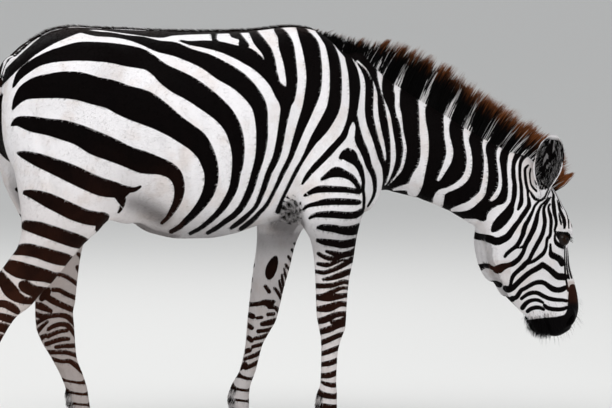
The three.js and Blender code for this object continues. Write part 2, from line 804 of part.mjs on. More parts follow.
// ---------------------------------------------------------------- assembly
const colours = {
  coat: 0xcfcac4, mane: 0x2a201b, horn: 0x3a3330, eye: 0x15100d, ear: 0xb9b2aa, tuft: 0x241c18,
};
const animal = new THREE.Group();
animal.name = 'plains_zebra';

function addPart(name, solid, color, roughness) {
  const material = new THREE.MeshStandardMaterial({ color, roughness, metalness: 0 });
  const mesh = new THREE.Mesh(toGeometry(solid), material);
  mesh.name = name;
  animal.add(mesh);
}

const swollen = Object.keys(fleshBoxes).map(swollenSolid);
const clearOfFlesh = (solid) => largestPiece(swollen.reduce((rest, flesh) => rest.subtract(flesh), solid));

addPart('trunk', trunkSolid(), colours.coat, ROUGHNESS.coat);
addPart('neck', neckSolid(), colours.coat, ROUGHNESS.coat);
const sockets = sides.map((side) => eyeSolid(side, GAP));
const socketedHead = sockets.reduce((solid, socket) => solid.subtract(socket), headSolid());
addPart('head', socketedHead, colours.coat, ROUGHNESS.coat);

for (const name of Object.keys(legs)) {
  const [end, side] = name.split('_');
  const sideSign = side === 'right' ? -1 : 1;
  const rows = (end === 'front' ? frontLegRows : hindLegRows)[side];
  addPart(`leg_${name}`, legSolid(name), colours.coat, ROUGHNESS.coat);
  addPart(`hoof_${name}`, toManifold(hoofSolid(rows, sideSign)), colours.horn, ROUGHNESS.horn);
}

for (const side of sides) {
  const label = side < 0 ? 'right' : 'left';
  addPart(`ear_${label}`, clearOfFlesh(toManifold(earSolid(side))), colours.ear, ROUGHNESS.coat);
  addPart(`eye_${label}`, eyeSolid(side, 0), colours.eye, ROUGHNESS.eye);
}

const dock = tailSolid(tailRows, 0.2, 5, 10);
const tassel = tailSolid(tailRows, 5.01, 8.98, 8);
addPart('mane', clearOfFlesh(toManifold(maneSolid())), colours.mane, ROUGHNESS.hair);
addPart('tail', clearOfFlesh(toManifold(dock)), colours.coat, ROUGHNESS.coat);
addPart('tail_tuft', toManifold(tassel), colours.tuft, ROUGHNESS.hair);

// The floor is at the soles and the origin at the middle of the animal's footprint.
const bounds = new THREE.Box3().setFromObject(animal);
const middle = bounds.getCenter(new THREE.Vector3());
for (const mesh of animal.children) {
  mesh.geometry.translate(-middle.x, -middle.y, -bounds.min.z);
}

export default animal;
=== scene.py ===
# A grazing plains zebra: skin, markings, coat, mane, tail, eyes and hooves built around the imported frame.
import math

import bpy
import numpy as np
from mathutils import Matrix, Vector


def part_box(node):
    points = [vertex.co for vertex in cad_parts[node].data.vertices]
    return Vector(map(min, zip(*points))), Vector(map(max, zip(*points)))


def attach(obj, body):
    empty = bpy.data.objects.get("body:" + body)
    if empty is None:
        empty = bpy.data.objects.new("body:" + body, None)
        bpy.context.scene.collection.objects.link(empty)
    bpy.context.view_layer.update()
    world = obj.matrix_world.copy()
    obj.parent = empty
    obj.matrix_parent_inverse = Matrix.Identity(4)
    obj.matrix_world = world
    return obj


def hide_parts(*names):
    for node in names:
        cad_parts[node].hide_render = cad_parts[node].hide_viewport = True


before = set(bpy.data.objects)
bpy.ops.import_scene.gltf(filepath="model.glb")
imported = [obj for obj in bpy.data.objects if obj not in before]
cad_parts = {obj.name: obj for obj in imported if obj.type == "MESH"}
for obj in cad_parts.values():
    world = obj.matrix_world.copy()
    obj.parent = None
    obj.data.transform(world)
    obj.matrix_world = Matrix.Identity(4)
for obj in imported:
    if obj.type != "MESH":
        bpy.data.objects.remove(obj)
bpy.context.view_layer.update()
rng = np.random.default_rng(20)

# ---------------------------------------------------------------- named sizes (millimetres in the body plan)
POLL = np.array([1702.0, 12.0, 869.0])
HEAD_PITCH, HEAD_YAW, NECK_PITCH = (math.radians(v) for v in (13, 8, 31))
EYE_RADIUS, EYE_AT = 20.5, (252.0, 40.0, 83.0)
EAR_LENGTH, EAR_WIDTH, EAR_WALL = 182.0, 104.0, 5.0
COAT_DEPTH = 3.0
CORONET_HEIGHT, HOOF_SLOPE = 56.0, 0.55
SKIN_CELL = 11.0
# The head lies ahead of HEAD_X and below HEAD_TOP, and the legs behind LEGS_X.
HEAD_X, HEAD_TOP, LEGS_X = 1500.0, 960.0, 1300.0
# Which strips of the OFBake square the body and the head take.
BODY_STRIP, HEAD_STRIP = (0.0, 0.655), (0.665, 1.0)


def stations(rows):
    """A smooth curve without overshoot through rows of [position, value, value...]."""
    rows = np.array(rows, float)
    x, y = rows[:, 0], rows[:, 1:]
    step = np.diff(y, axis=0) / np.diff(x)[:, None]
    slope = np.zeros_like(y)
    slope[0], slope[-1] = step[0], step[-1]
    a, b = step[:-1], step[1:]
    slope[1:-1] = np.where(a * b > 0, 2 * a * b / np.where(a + b == 0, 1, a + b), 0)

    def at(place):
        place = np.clip(np.atleast_1d(np.asarray(place, float)), x[0], x[-1])
        i = np.clip(np.searchsorted(x, place) - 1, 0, len(x) - 2)
        span = (x[i + 1] - x[i])[:, None]
        t = (place - x[i])[:, None] / span
        gone, leave, arrive = t * t * (3 - 2 * t), t * (1 - t) ** 2 * span, t * t * (t - 1) * span
        return y[i] + (y[i + 1] - y[i]) * gone + leave * slope[i] + arrive * slope[i + 1]

    return at


def ramp(value, low, high):
    """A smooth step from 0 at low to 1 at high."""
    t = np.clip((value - low) / (high - low), 0, 1)
    return t * t * (3 - 2 * t)


# ---------------------------------------------------------------- frames of the body plan
def trunk_frame(p):
    return p[:, 0], p[:, 2], p[:, 1]


def leg_frame(p):
    return p[:, 2], p[:, 0], p[:, 1]


def neck_frame(p):
    dx, dz = p[:, 0] - 1100, p[:, 2] - 1000
    c, s = math.cos(NECK_PITCH), math.sin(NECK_PITCH)
    return dx * c - dz * s, dx * s + dz * c, p[:, 1]


def head_frame(p):
    dx, dy, dz = (p - POLL).T
    ahead = dx * math.cos(HEAD_YAW) + dy * math.sin(HEAD_YAW)
    side = dy * math.cos(HEAD_YAW) - dx * math.sin(HEAD_YAW)
    c, s = math.cos(HEAD_PITCH), math.sin(HEAD_PITCH)
    return ahead * s - dz * c, ahead * c + dz * s, side


def head_point(along, rise, side):
    c, s = math.cos(HEAD_PITCH), math.sin(HEAD_PITCH)
    ahead = along * s + rise * c
    yc, ys = math.cos(HEAD_YAW), math.sin(HEAD_YAW)
    x, y = ahead * yc - side * ys, ahead * ys + side * yc
    return POLL + np.stack(np.broadcast_arrays(x, y, -along * c + rise * s), -1)


def head_direction(along, rise, side):
    v = head_point(along, rise, side) - POLL
    return v / np.linalg.norm(v)


# ---------------------------------------------------------------- fields of flesh, negative inside
def loft(frame_of, rows, ends, widest, square, blend, box):
    """A limb or trunk through rows of (along, upper, lower, middle, half width), rounded at both ends."""
    curve = stations(rows)
    first, last = rows[0][0], rows[-1][0]

    def distance(p):
        along, rise, side = frame_of(p)
        upper, lower, middle, half = curve(along).T
        centre = (upper + lower) / 2 + widest * (upper - lower) / 2
        up = np.maximum(1, np.where(rise > centre, upper - centre, centre - lower))
        reach = np.where(along < first, ends[0], ends[1])
        beyond = np.maximum(0, np.where(along < first, first - along, along - last)) / reach
        a, b = np.abs(side - middle) / half, np.abs(rise - centre) / up
        ratio = np.maximum(a ** square + b ** square + beyond ** square, 1e-9) ** (1 / square)
        k = square - 1
        steep = np.sqrt((a ** k / half) ** 2 + (b ** k / up) ** 2 + (beyond ** k / reach) ** 2)
        slope = np.maximum(ratio ** (1 - square) * steep, 1e-6)
        inside = -np.minimum(half, up)
        return np.where(ratio < 0.3, inside * (1 - ratio), np.maximum(inside, (ratio - 1) / slope))

    return distance, blend, box


def lump(frame_of, at, size, blend, box):
    """An ellipsoid of muscle or bone."""
    def distance(p):
        q = np.stack([(v - c) / s for v, c, s in zip(frame_of(p), at, size)])
        ratio = np.sqrt((q ** 2).sum(0))
        slope = np.sqrt(((q / np.array(size)[:, None]) ** 2).sum(0)) / np.maximum(ratio, 1e-6)
        return (ratio - 1) / np.maximum(slope, 1e-6)

    return distance, blend, box


TRUNK = [
    (62, 1232, 900, 0, 168), (122, 1283, 850, 0, 206), (184, 1314, 800, 0, 225), (248, 1323, 765, 0, 233),
    (310, 1319, 742, 0, 233), (412, 1314, 703, 0, 244), (499, 1309, 667, 0, 266), (580, 1306, 652, 0, 279),
    (660, 1305, 652, 0, 283), (740, 1305, 664, 0, 275), (821, 1308, 688, 0, 253), (880, 1314, 700, 0, 226),
    (935, 1318, 700, 0, 197), (992, 1312, 694, 0, 176), (1053, 1280, 706, 0, 162), (1114, 1200, 722, 0, 146),
    (1150, 1110, 740, 0, 126)]
NECK = [
    (-60, 232, -215, 0, 118), (0, 214, -218, 0, 120), (60, 204, -188, 0, 114), (120, 202, -148, 0, 104),
    (190, 201, -116, 0, 96), (270, 202, -94, 0, 88), (340, 200, -76, 0, 83), (410, 202, -64, 2, 79),
    (480, 206, -60, 5, 77), (545, 212, -58, 8, 76), (590, 200, -40, 10, 72)]
HEAD = [
    (18, 24, -112, 0, 62), (75, 58, -138, 0, 76), (112, 76, -160, 0, 82), (153, 88, -186, 0, 86),
    (188, 98, -200, 0, 88), (218, 97, -206, 0, 87), (250, 90, -210, 0, 83), (300, 77, -203, 0, 74),
    (350, 73, -180, 0, 63), (395, 77, -159, 0, 54), (440, 79, -130, 0, 48), (480, 76, -103, 0, 46),
    (512, 64, -80, 0, 45), (536, 36, -58, 0, 40)]
HEAD_LUMPS = [
    ((205, -105, 46), (86, 96, 44), 26), ((220, 58, 76), (42, 24, 25), 16), ((264, 18, 72), (46, 24, 21), 18),
    ((300, -10, 62), (62, 14, 14), 18), ((505, 12, 40), (32, 32, 19), 18), ((532, -22, 26), (27, 36, 24), 16),
    ((504, -70, 17), (38, 26, 25), 20), ((258, -174, 48), (88, 38, 24), 22),
    ((345, -146, 36), (56, 26, 18), 18), ((94, 4, 58), (34, 34, 28), 18)]
TRUNK_LUMPS = [
    ((312, 1215, 150), (70, 60, 62), 60), ((76, 1010, 96), (56, 110, 72), 44),
    ((392, 760, 118), (74, 46, 50), 50), ((1128, 800, 62), (76, 76, 66), 44),
    ((1112, 900, 104), (54, 90, 50), 44), ((170, 1150, 110), (130, 120, 100), 60)]
# Legs: height, front edge, back edge, distance from the middle, half width.
LEGS = {
    "front_right": (-1, [
        (0, 1078, 1024, 108, 30), (56, 1078, 1014, 108, 31), (95, 1064, 1006, 108, 29),
        (135, 1062, 996, 108, 34), (162, 1062, 997, 108, 34), (200, 1060, 1008, 109, 27),
        (290, 1064, 1010, 110, 27), (335, 1074, 1009, 111, 33), (375, 1088, 1002, 112, 41),
        (410, 1091, 995, 113, 42), (450, 1093, 992, 115, 41), (520, 1099, 989, 118, 47),
        (590, 1112, 984, 122, 57), (650, 1120, 972, 126, 68), (710, 1134, 938, 126, 80),
        (780, 1158, 905, 116, 88), (860, 1160, 885, 104, 94), (960, 1130, 868, 92, 92),
        (1060, 1090, 868, 80, 84), (1150, 1044, 880, 66, 72)]),
    "front_left": (1, [
        (0, 838, 784, 108, 30), (56, 838, 774, 108, 31), (95, 824, 767, 108, 29), (135, 824, 758, 108, 34),
        (162, 826, 762, 108, 34), (220, 846, 792, 109, 27), (300, 868, 811, 110, 28),
        (340, 890, 815, 111, 34), (378, 912, 818, 112, 41), (415, 923, 822, 113, 42),
        (475, 938, 829, 115, 42), (550, 960, 839, 118, 49), (611, 976, 849, 122, 58),
        (660, 998, 852, 126, 68), (715, 1050, 850, 126, 80), (780, 1110, 850, 116, 88),
        (860, 1140, 858, 104, 94), (960, 1124, 862, 92, 92), (1060, 1088, 868, 80, 84),
        (1150, 1044, 880, 66, 72)]),
    "hind_right": (-1, [
        (0, -46, -102, 112, 30), (56, -50, -116, 112, 31), (100, -62, -124, 112, 29),
        (145, -68, -138, 112, 34), (172, -64, -133, 112, 34), (220, -56, -112, 112, 27),
        (330, -14, -74, 113, 28), (380, 12, -48, 114, 33), (429, 46, -30, 115, 38), (464, 92, -27, 116, 42),
        (500, 124, -27, 117, 41), (540, 164, -23, 119, 44), (600, 212, 14, 122, 56), (650, 254, 49, 124, 74),
        (700, 308, 60, 126, 90), (750, 350, 58, 127, 100), (840, 372, 46, 126, 108), (934, 372, 29, 124, 110),
        (1010, 352, 22, 118, 108), (1080, 320, 16, 106, 98)]),
    "hind_left": (1, [
        (0, 338, 282, 112, 30), (56, 334, 268, 112, 31), (95, 318, 260, 112, 29), (140, 310, 240, 112, 34),
        (168, 306, 236, 112, 34), (215, 293, 219, 112, 28), (275, 272, 188, 113, 30),
        (330, 267, 156, 114, 36), (372, 265, 141, 115, 41), (415, 262, 138, 116, 42),
        (450, 269, 138, 117, 40), (500, 275, 126, 119, 42), (560, 283, 125, 122, 50),
        (620, 294, 118, 124, 66), (680, 318, 112, 126, 86), (740, 350, 84, 127, 98), (840, 372, 38, 126, 108),
        (934, 372, 20, 124, 110), (1010, 352, 18, 118, 108), (1080, 320, 16, 106, 98)])}
TAIL = [
    (0, 40, 1150, 40, 44), (1, -10, 1116, 36, 40), (2, -52, 1062, 30, 34), (3, -72, 980, 26, 29),
    (4, -80, 880, 23, 25), (5, -82, 780, 24, 27), (6, -80, 690, 34, 36), (7, -76, 600, 38, 40),
    (8, -72, 520, 30, 32), (9, -70, 452, 8, 9)]
MANE = stations([
    (0, 985, 1290, 1008, 1314, 8, 3), (1, 1060, 1248, 1092, 1299, 16, 5), (2, 1130, 1188, 1182, 1284, 22, 7),
    (3, 1210, 1135, 1264, 1272, 24, 8), (4, 1300, 1082, 1362, 1240, 25, 9),
    (5, 1390, 1026, 1446, 1193, 25, 9), (6, 1480, 970, 1540, 1130, 25, 9), (7, 1570, 914, 1640, 1068, 26, 10),
    (8, 1650, 866, 1742, 1000, 26, 12), (9, 1700, 838, 1812, 950, 26, 12), (10, 1732, 812, 1852, 884, 27, 11),
    (11, 1752, 776, 1850, 832, 24, 9), (12, 1764, 748, 1802, 790, 14, 5)])

LEG_CURVES = {name: (sign, stations(rows)) for name, (sign, rows) in LEGS.items()}
TRUNK_BOX = ((-160, -340, 560), (1360, 340, 1420))
NECK_BOX = ((900, -300, 520), (1800, 320, 1460))
HEAD_BOX = ((1440, -220, 220), (1960, 260, 1010))

fields = [
    loft(trunk_frame, TRUNK, (54, 60), -0.06, 2.25, 40, TRUNK_BOX),
    loft(neck_frame, NECK, (90, 60), -0.16, 2.15, 60, NECK_BOX),
    loft(head_frame, HEAD, (52, 22), 0.34, 2.35, 30, HEAD_BOX),
]
for sign in (-1, 1):
    for at, size, blend in TRUNK_LUMPS:
        fields.append(lump(trunk_frame, (at[0], at[1], at[2] * sign), size, blend, TRUNK_BOX))
for name, (sign, rows) in LEGS.items():
    placed = [(height, front, back, side * sign, half) for height, front, back, side, half in rows]
    low_x, high_x = min(r[2] for r in rows) - 110, max(r[1] for r in rows) + 110
    box = ((low_x, -330, -120), (high_x, 70, 1300)) if sign < 0 else ((low_x, -70, -120), (high_x, 330, 1300))
    fields.append(loft(leg_frame, placed, (20, 70), 0, 2.2, 34, box))
for sign in (-1, 1):
    for at, size, blend in HEAD_LUMPS:
        fields.append(lump(head_frame, (at[0], at[1], at[2] * sign), size, blend, HEAD_BOX))


def body_distance(p):
    """Distance to the CAD's flesh, with its parts blended where they meet."""
    nearest = np.full(len(p), 1e4)
    for distance, blend, (low, high) in fields:
        near = np.nonzero(((p > low) & (p < high)).all(1))[0]
        if not len(near):
            continue
        d, n = distance(p[near]), nearest[near]
        over = np.maximum(blend - np.abs(n - d), 0)
        nearest[near] = np.minimum(n, d) - over * over / (4 * blend)
    return nearest


def gradient(p, step=1.0):
    parts = []
    for axis in range(3):
        off = np.zeros(3)
        off[axis] = step
        parts.append((body_distance(p + off) - body_distance(p - off)) / (2 * step))
    return np.stack(parts, 1)


def coat_depth(p):
    """How far the skin lies under the tips of the coat: least on the face and the lower legs."""
    face = ramp(p[:, 0], 1500, 1650)
    low_leg = 1 - ramp(p[:, 2], 250, 600)
    return COAT_DEPTH - 1.2 * np.maximum(face, low_leg)


def settle(p, turns=3):
    """Moves places onto the skin, under the coat."""
    for _ in range(turns):
        slope = gradient(p)
        value = body_distance(p) + coat_depth(p)
        p = p - slope * (value / np.maximum((slope ** 2).sum(1), 0.05))[:, None]
    return p


# ---------------------------------------------------------------- meshing
def surface_nets(low, high, cell):
    """A closed mesh of the flesh: one point in each grid cell that the surface passes through."""
    counts = [int(math.ceil((h - l) / cell)) + 1 for l, h in zip(low, high)]
    axes = [l + cell * np.arange(n) for l, n in zip(low, counts)]
    coarse = 4
    rough = [a[::coarse] for a in axes]
    grid = np.stack(np.meshgrid(*rough, indexing="ij"), -1)
    far = body_distance(grid.reshape(-1, 3)).reshape(grid.shape[:3])
    near = np.abs(far) < cell * coarse * 1.9
    spread = near.copy()
    for axis in range(3):
        spread |= np.roll(near, 1, axis) | np.roll(near, -1, axis)
    index = np.ix_(*[np.minimum((np.arange(n) + coarse // 2) // coarse, len(r) - 1)
                     for n, r in zip(counts, rough)])
    values, wanted = far[index].copy(), spread[index]
    at = np.argwhere(wanted)
    values[wanted] = body_distance(np.array(low) + at * cell) + COAT_DEPTH
    values[[0, -1]] = values[:, [0, -1]] = values[:, :, [0, -1]] = cell
    solid = values < 0
    shape = tuple(n - 1 for n in counts)
    total, crossings = np.zeros(shape + (3,)), np.zeros(shape)
    for axis in range(3):
        other = [k for k in range(3) if k != axis]
        for da in (0, 1):
            for db in (0, 1):
                shift = [0, 0, 0]
                shift[other[0]], shift[other[1]] = da, db
                first = tuple(slice(s, s + n) for s, n in zip(shift, shape))
                shift[axis] = 1
                second = tuple(slice(s, s + n) for s, n in zip(shift, shape))
                a, b = values[first], values[second]
                cut = (a < 0) != (b < 0)
                t = np.where(cut, a / np.where(a == b, 1, a - b), 0)
                offset = np.zeros(shape + (3,))
                offset[..., axis], offset[..., other[0]], offset[..., other[1]] = t, da, db
                total += offset * cut[..., None]
                crossings += cut
    cells = np.argwhere(crossings > 0)
    keep = tuple(cells.T)
    points = np.array(low) + (cells + total[keep] / crossings[keep][:, None]) * cell
    number = np.full(shape, -1)
    number[keep] = np.arange(len(cells))
    quads = []
    for axis in range(3):
        u, v = (axis + 1) % 3, (axis + 2) % 3
        a = np.moveaxis(solid, axis, 0)
        change = np.moveaxis(a[:-1] != a[1:], 0, axis)
        spots = np.argwhere(change)
        inside = (spots[:, u] > 0) & (spots[:, v] > 0) & (spots[:, u] < shape[u]) & (spots[:, v] < shape[v])
        spots = spots[inside]
        ring = []
        for pu, pv in ((0, 0), (1, 0), (1, 1), (0, 1)):
            s = spots.copy()
            s[:, u] -= pu
            s[:, v] -= pv
            ring.append(number[tuple(s.T)])
        quad = np.stack(ring, 1)
        inside = solid[tuple(spots.T)]
        quads.append(np.where(inside[:, None], quad, quad[:, ::-1]))
    quads = np.concatenate(quads)
    short = np.linalg.norm(points[quads[:, 0]] - points[quads[:, 2]], axis=1)
    long = np.linalg.norm(points[quads[:, 1]] - points[quads[:, 3]], axis=1)
    other_way = np.roll(quads, -1, axis=1)
    q = np.where((short <= long)[:, None], quads, other_way)
    return points, np.concatenate([q[:, [0, 1, 2]], q[:, [0, 2, 3]]])


def refine(points, faces, target):
    """Splits every edge longer than the target length at its middle, without leaving open joints."""
    edges = np.sort(np.concatenate([faces[:, [0, 1]], faces[:, [1, 2]], faces[:, [2, 0]]]), axis=1)
    unique, inverse = np.unique(edges, axis=0, return_inverse=True)
    inverse = inverse.reshape(3, -1).T
    middle = points[unique].mean(1)
    length = np.linalg.norm(points[unique[:, 0]] - points[unique[:, 1]], axis=1)
    split = length > target(middle)
    new = np.full(len(unique), -1)
    new[split] = len(points) + np.arange(split.sum())
    points = np.concatenate([points, middle[split]])
    cut = new[inverse]
    has = cut >= 0
    out = [faces[~has.any(1)]]
    for turn in range(3):
        f, c, h = np.roll(faces, -turn, 1), np.roll(cut, -turn, 1), np.roll(has, -turn, 1)
        one = h[:, 0] & ~h[:, 1] & ~h[:, 2]
        a, b, d = f[one].T
        m = c[one, 0]
        out += [np.stack([a, m, d], 1), np.stack([m, b, d], 1)]
        two = h[:, 0] & h[:, 1] & ~h[:, 2]
        a, b, d = f[two].T
        m, n = c[two, 0], c[two, 1]
        out += [np.stack([m, b, n], 1), np.stack([a, m, n], 1), np.stack([a, n, d], 1)]
    every = has.all(1)
    a, b, d = faces[every].T
    m, n, o = cut[every].T
    out += [np.stack(v, 1) for v in ((a, m, o), (m, b, n), (o, n, d), (m, n, o))]
    return points, np.concatenate(out), new[split]


# ---------------------------------------------------------------- sculpted skin
def groove(x, z, line, width):
    """A soft unit ridge along a line of (x, z) points."""
    near = np.full(len(x), 1e4)
    for (x0, z0), (x1, z1) in zip(line[:-1], line[1:]):
        dx, dz = x1 - x0, z1 - z0
        t = np.clip(((x - x0) * dx + (z - z0) * dz) / (dx * dx + dz * dz), 0, 1)
        near = np.minimum(near, np.hypot(x - x0 - t * dx, z - z0 - t * dz))
    return np.exp(-(near / width) ** 2)


# Folds and hollows of both flanks: line of (x, z), depth, width.
FOLDS = [
    ([(902, 820), (880, 740), (905, 670)], 6, 18),
    ([(1000, 1230), (1060, 1100), (1118, 960)], 3.5, 26),
    ([(905, 1180), (930, 1040), (985, 930)], 3, 30),
    ([(1040, 900), (1000, 800), (985, 700)], 3, 16),
    ([(436, 700), (408, 790), (430, 880), (470, 960)], 7, 24),
    ([(300, 1130), (345, 1000), (352, 860), (330, 740)], 4, 26),
    ([(86, 1060), (118, 920), (150, 800), (140, 690)], 4.5, 15),
    ([(1170, 850), (1290, 790), (1420, 735), (1530, 690)], 3.5, 13),
    ([(1580, 640), (1625, 720), (1660, 800)], 4, 14),
    ([(1235, 1010), (1270, 900), (1250, 800)], 1.6, 12),
    ([(1330, 960), (1362, 860), (1345, 750)], 1.6, 12),
    ([(1430, 905), (1462, 810), (1450, 700)], 1.6, 11),
    ([(1512, 860), (1545, 760), (1532, 680)], 1.8, 10),
]


def relief(p):
    """Lift of the skin in millimetres for muscles, ribs, folds and tendons."""
    x, y, z = p.T
    lift = np.zeros(len(p))
    trunk = ramp(z, 640, 700) * (1 - ramp(x, 1560, 1640))
    for line, depth, width in FOLDS:
        lift -= depth * groove(x, z, line, width) * trunk
    flank = ramp(x, 450, 540) * (1 - ramp(x, 860, 960)) * ramp(z, 700, 780) * (1 - ramp(z, 1080, 1180))
    lift += 0.9 * flank * np.cos((x + 0.22 * (z - 700)) * 2 * math.pi / 46)
    for name, (sign, curve) in LEG_CURVES.items():
        front, back, side, half = curve(z).T
        middle, deep = (front + back) / 2, (front - back) / 2
        own = (np.abs(x - middle) < deep + 30) & (y * sign > 0) & (z < 640)
        q, r = (x - middle) / deep, np.abs(np.abs(y) - side) / half
        flat = own * ramp(r, 0.35, 0.85)
        cannon = ramp(z, 165, 200) * (1 - ramp(z, 320, 350))
        lift -= 2.6 * flat * cannon * np.exp(-((q + 0.28) / 0.2) ** 2)
        if name.startswith("hind"):
            string = ramp(z, 455, 500) * (1 - ramp(z, 600, 660))
            lift -= 5.5 * flat * string * np.exp(-((q + 0.42) / 0.22) ** 2)
            lift += 2.4 * flat * np.exp(-((z - 395) / 26) ** 2 - ((q - 0.1) / 0.4) ** 2)
        else:
            lift += 2.2 * flat * np.exp(-((z - 392) / 30) ** 2 - ((q - 0.25) / 0.4) ** 2)
            lift -= 1.6 * flat * np.exp(-((z - 352) / 10) ** 2)
        lift += 1.6 * own * np.exp(-((z - 66) / 9) ** 2)
    return lift


def pit_frame(at, sign, long_axis, outward):
    """Centre, long axis, short axis and outward direction of an opening in the head."""
    centre = head_point(at[0], at[1], at[2] * sign)
    out = head_direction(outward[0], outward[1], outward[2] * sign)
    u = head_direction(*long_axis)
    u = u - out * (u @ out)
    u /= np.linalg.norm(u)
    v = np.cross(u, out) * sign
    return centre, u, v, out


EYE_AXES = ((0.88, 0.47, 0), (-0.06, 0.28, 0.95))
LID_THICKNESS, EYE_HALF_LONG, EYE_HALF_TALL = 2.6, 21.0, 14.5
NOSTRIL_AT, NOSTRIL_AXES = (512.0, 16.0, 46.0), ((0.62, -0.72, 0.1), (0.35, 0.25, 0.9))
NOSTRIL_HALF = (20, 8.5)


def opening(p, at, sign, axes, half_long, half_tall):
    """Share of an opening's size at each place (1 at its rim), offset, outward direction and height in it."""
    centre, u, v, out = pit_frame(at, sign, *axes)
    d = p - centre
    return (np.abs(d @ u) / half_long) ** 1.6 + (np.abs(d @ v) / half_tall) ** 1.8, d, out, d @ v


def sculpt_head(p, normals):
    """Mouth line, jaw, bridge of the nose, nostrils, eye sockets and lids."""
    along, rise = head_frame(p)[:2]
    p = p.copy()
    mouth = groove(along, rise, [(450, -62), (480, -57), (515, -52), (560, -50)], 3.4) * ramp(along, 440, 470)
    p -= normals * (5.0 * mouth)[:, None]
    a, b = side_chart(on_right_side(p)[0])
    jaw_line = [(153.4, 64.5), (155.3, 61), (155.6, 58), (156.2, 55.5), (157.4, 52.5), (159, 49)]
    jaw = groove(a, b, jaw_line, 0.8)
    p -= normals * (4.5 * jaw)[:, None]
    bridge = groove(along, rise, [(300, -14), (380, -6), (440, 2)], 9) * (along > 280)
    p += normals * (1.6 * bridge)[:, None]
    for sign in (-1, 1):
        g, d, out = opening(p, NOSTRIL_AT, sign, NOSTRIL_AXES, *NOSTRIL_HALF)[:3]
        near = (np.linalg.norm(d, axis=1) < 60) & (d @ out > -25)
        rim = np.exp(-((g - 1.7) / 0.7) ** 2) * 2.4 - 17 * (1 - ramp(g, 0.15, 1.15))
        p += out * np.where(near, rim, 0)[:, None]
        g, d, out, tall = opening(p, EYE_AT, sign, EYE_AXES, EYE_HALF_LONG, EYE_HALF_TALL)
        far = np.linalg.norm(d, axis=1)
        near = (far < 60) & (d @ out > -12)
        lid = EYE_RADIUS + LID_THICKNESS + 0.6 * (tall > 0)
        covered = lid + (far - lid) * ramp(g, 1.3, 4.2)
        crease = 1.5 * np.exp(-((g - 3.0) / 0.45) ** 2) * ramp(np.abs(tall), 6, 12)
        wanted = np.where(g < 1, EYE_RADIUS - 3, covered - crease)
        p = np.where(near[:, None], p + d * (wanted / np.maximum(far, 1) - 1)[:, None], p)
    return p


def edge_target(p):
    """Edge length that the shape needs: finest round the eyes and nostrils."""
    along = head_frame(p)[0]
    size = np.full(len(p), 17.5)
    size[(p[:, 2] < 520) & (p[:, 0] < 1300)] = 12.0
    head = (p[:, 0] > 1530) & (p[:, 2] < 960)
    size[head] = 8.5
    size[head & (along > 430)] = 5.0
    for sign in (-1, 1):
        off = np.linalg.norm(p - head_point(EYE_AT[0], EYE_AT[1], EYE_AT[2] * sign), axis=1)
        size[off < 58] = 4.4
        size[off < 40] = 2.4
        off = np.linalg.norm(p - head_point(NOSTRIL_AT[0], NOSTRIL_AT[1], NOSTRIL_AT[2] * sign), axis=1)
        size[off < 36] = 3.0
    return size


def face_normals(points, faces):
    a, b, c = points[faces[:, 0]], points[faces[:, 1]], points[faces[:, 2]]
    return np.cross(b - a, c - a)


def point_normals(points, faces):
    flat = face_normals(points, faces)
    total = np.zeros_like(points)
    for k in range(3):
        for axis in range(3):
            total[:, axis] += np.bincount(faces[:, k], flat[:, axis], len(points))
    return total / np.maximum(np.linalg.norm(total, axis=1), 1e-9)[:, None]


def ring_tube(rings, closed_start=True, closed_end=True):
    """Points and faces of a tube through equal rings of points."""
    rings = np.asarray(rings, float)
    steps, count = rings.shape[:2]
    points = rings.reshape(-1, 3)
    i = np.arange(count)
    faces = []
    for r in range(steps - 1):
        a, b = r * count + i, r * count + (i + 1) % count
        faces += [np.stack([a, b, b + count], 1), np.stack([a, b + count, a + count], 1)]
    for r, flip, wanted in ((0, True, closed_start), (steps - 1, False, closed_end)):
        if wanted:
            centre = len(points)
            points = np.concatenate([points, rings[r].mean(0)[None]])
            a, b = r * count + i, r * count + (i + 1) % count
            c = np.full(count, centre)
            faces.append(np.stack([c, b, a] if flip else [c, a, b], 1))
    return points, np.concatenate(faces)


# The ear's shell: share of the length, half width and depth as shares of EAR_WIDTH / 2, and half its sweep.
EAR_SHAPE = stations([
    (-0.12, 0.3, 0.5, 2.4), (0.0, 0.38, 0.56, 2.0), (0.08, 0.52, 0.64, 1.72), (0.18, 0.72, 0.7, 1.6),
    (0.4, 0.97, 0.66, 1.55), (0.58, 1.0, 0.54, 1.5), (0.76, 0.84, 0.4, 1.45), (0.9, 0.52, 0.26, 1.4),
    (0.985, 0.16, 0.12, 1.4)])


def ear_axes(sign):
    root, tip = head_point(76, 8, 66 * sign), head_point(-80, 74, 98 * sign)
    axis = (tip - root) / np.linalg.norm(tip - root)
    facing = head_direction(0, 5, 100 * sign)
    facing = facing - axis * (facing @ axis)
    facing /= np.linalg.norm(facing)
    return root, axis, facing, np.cross(axis, facing)


def ear_point(sign, u, share, inset):
    """A place on the ear: u from root to tip, share from -1 to 1 across the cup, inset from outside."""
    root, axis, facing, across = ear_axes(sign)
    wide, deep, sweep = EAR_SHAPE(u).T
    angle = sweep * share
    half = np.maximum(EAR_WIDTH / 2 * wide - inset, 0.6)
    depth = np.maximum(EAR_WIDTH / 2 * deep - inset, 0.5)
    scale = np.where(sweep > math.pi / 2, 1, 1 / np.sin(np.minimum(sweep, math.pi / 2)))
    place = root + axis * (u * EAR_LENGTH)[:, None] + facing * (16 - 12 * u * u)[:, None]
    place = place + across * (half * np.sin(angle) * scale)[:, None]
    return place - facing * (depth * np.cos(angle))[:, None]


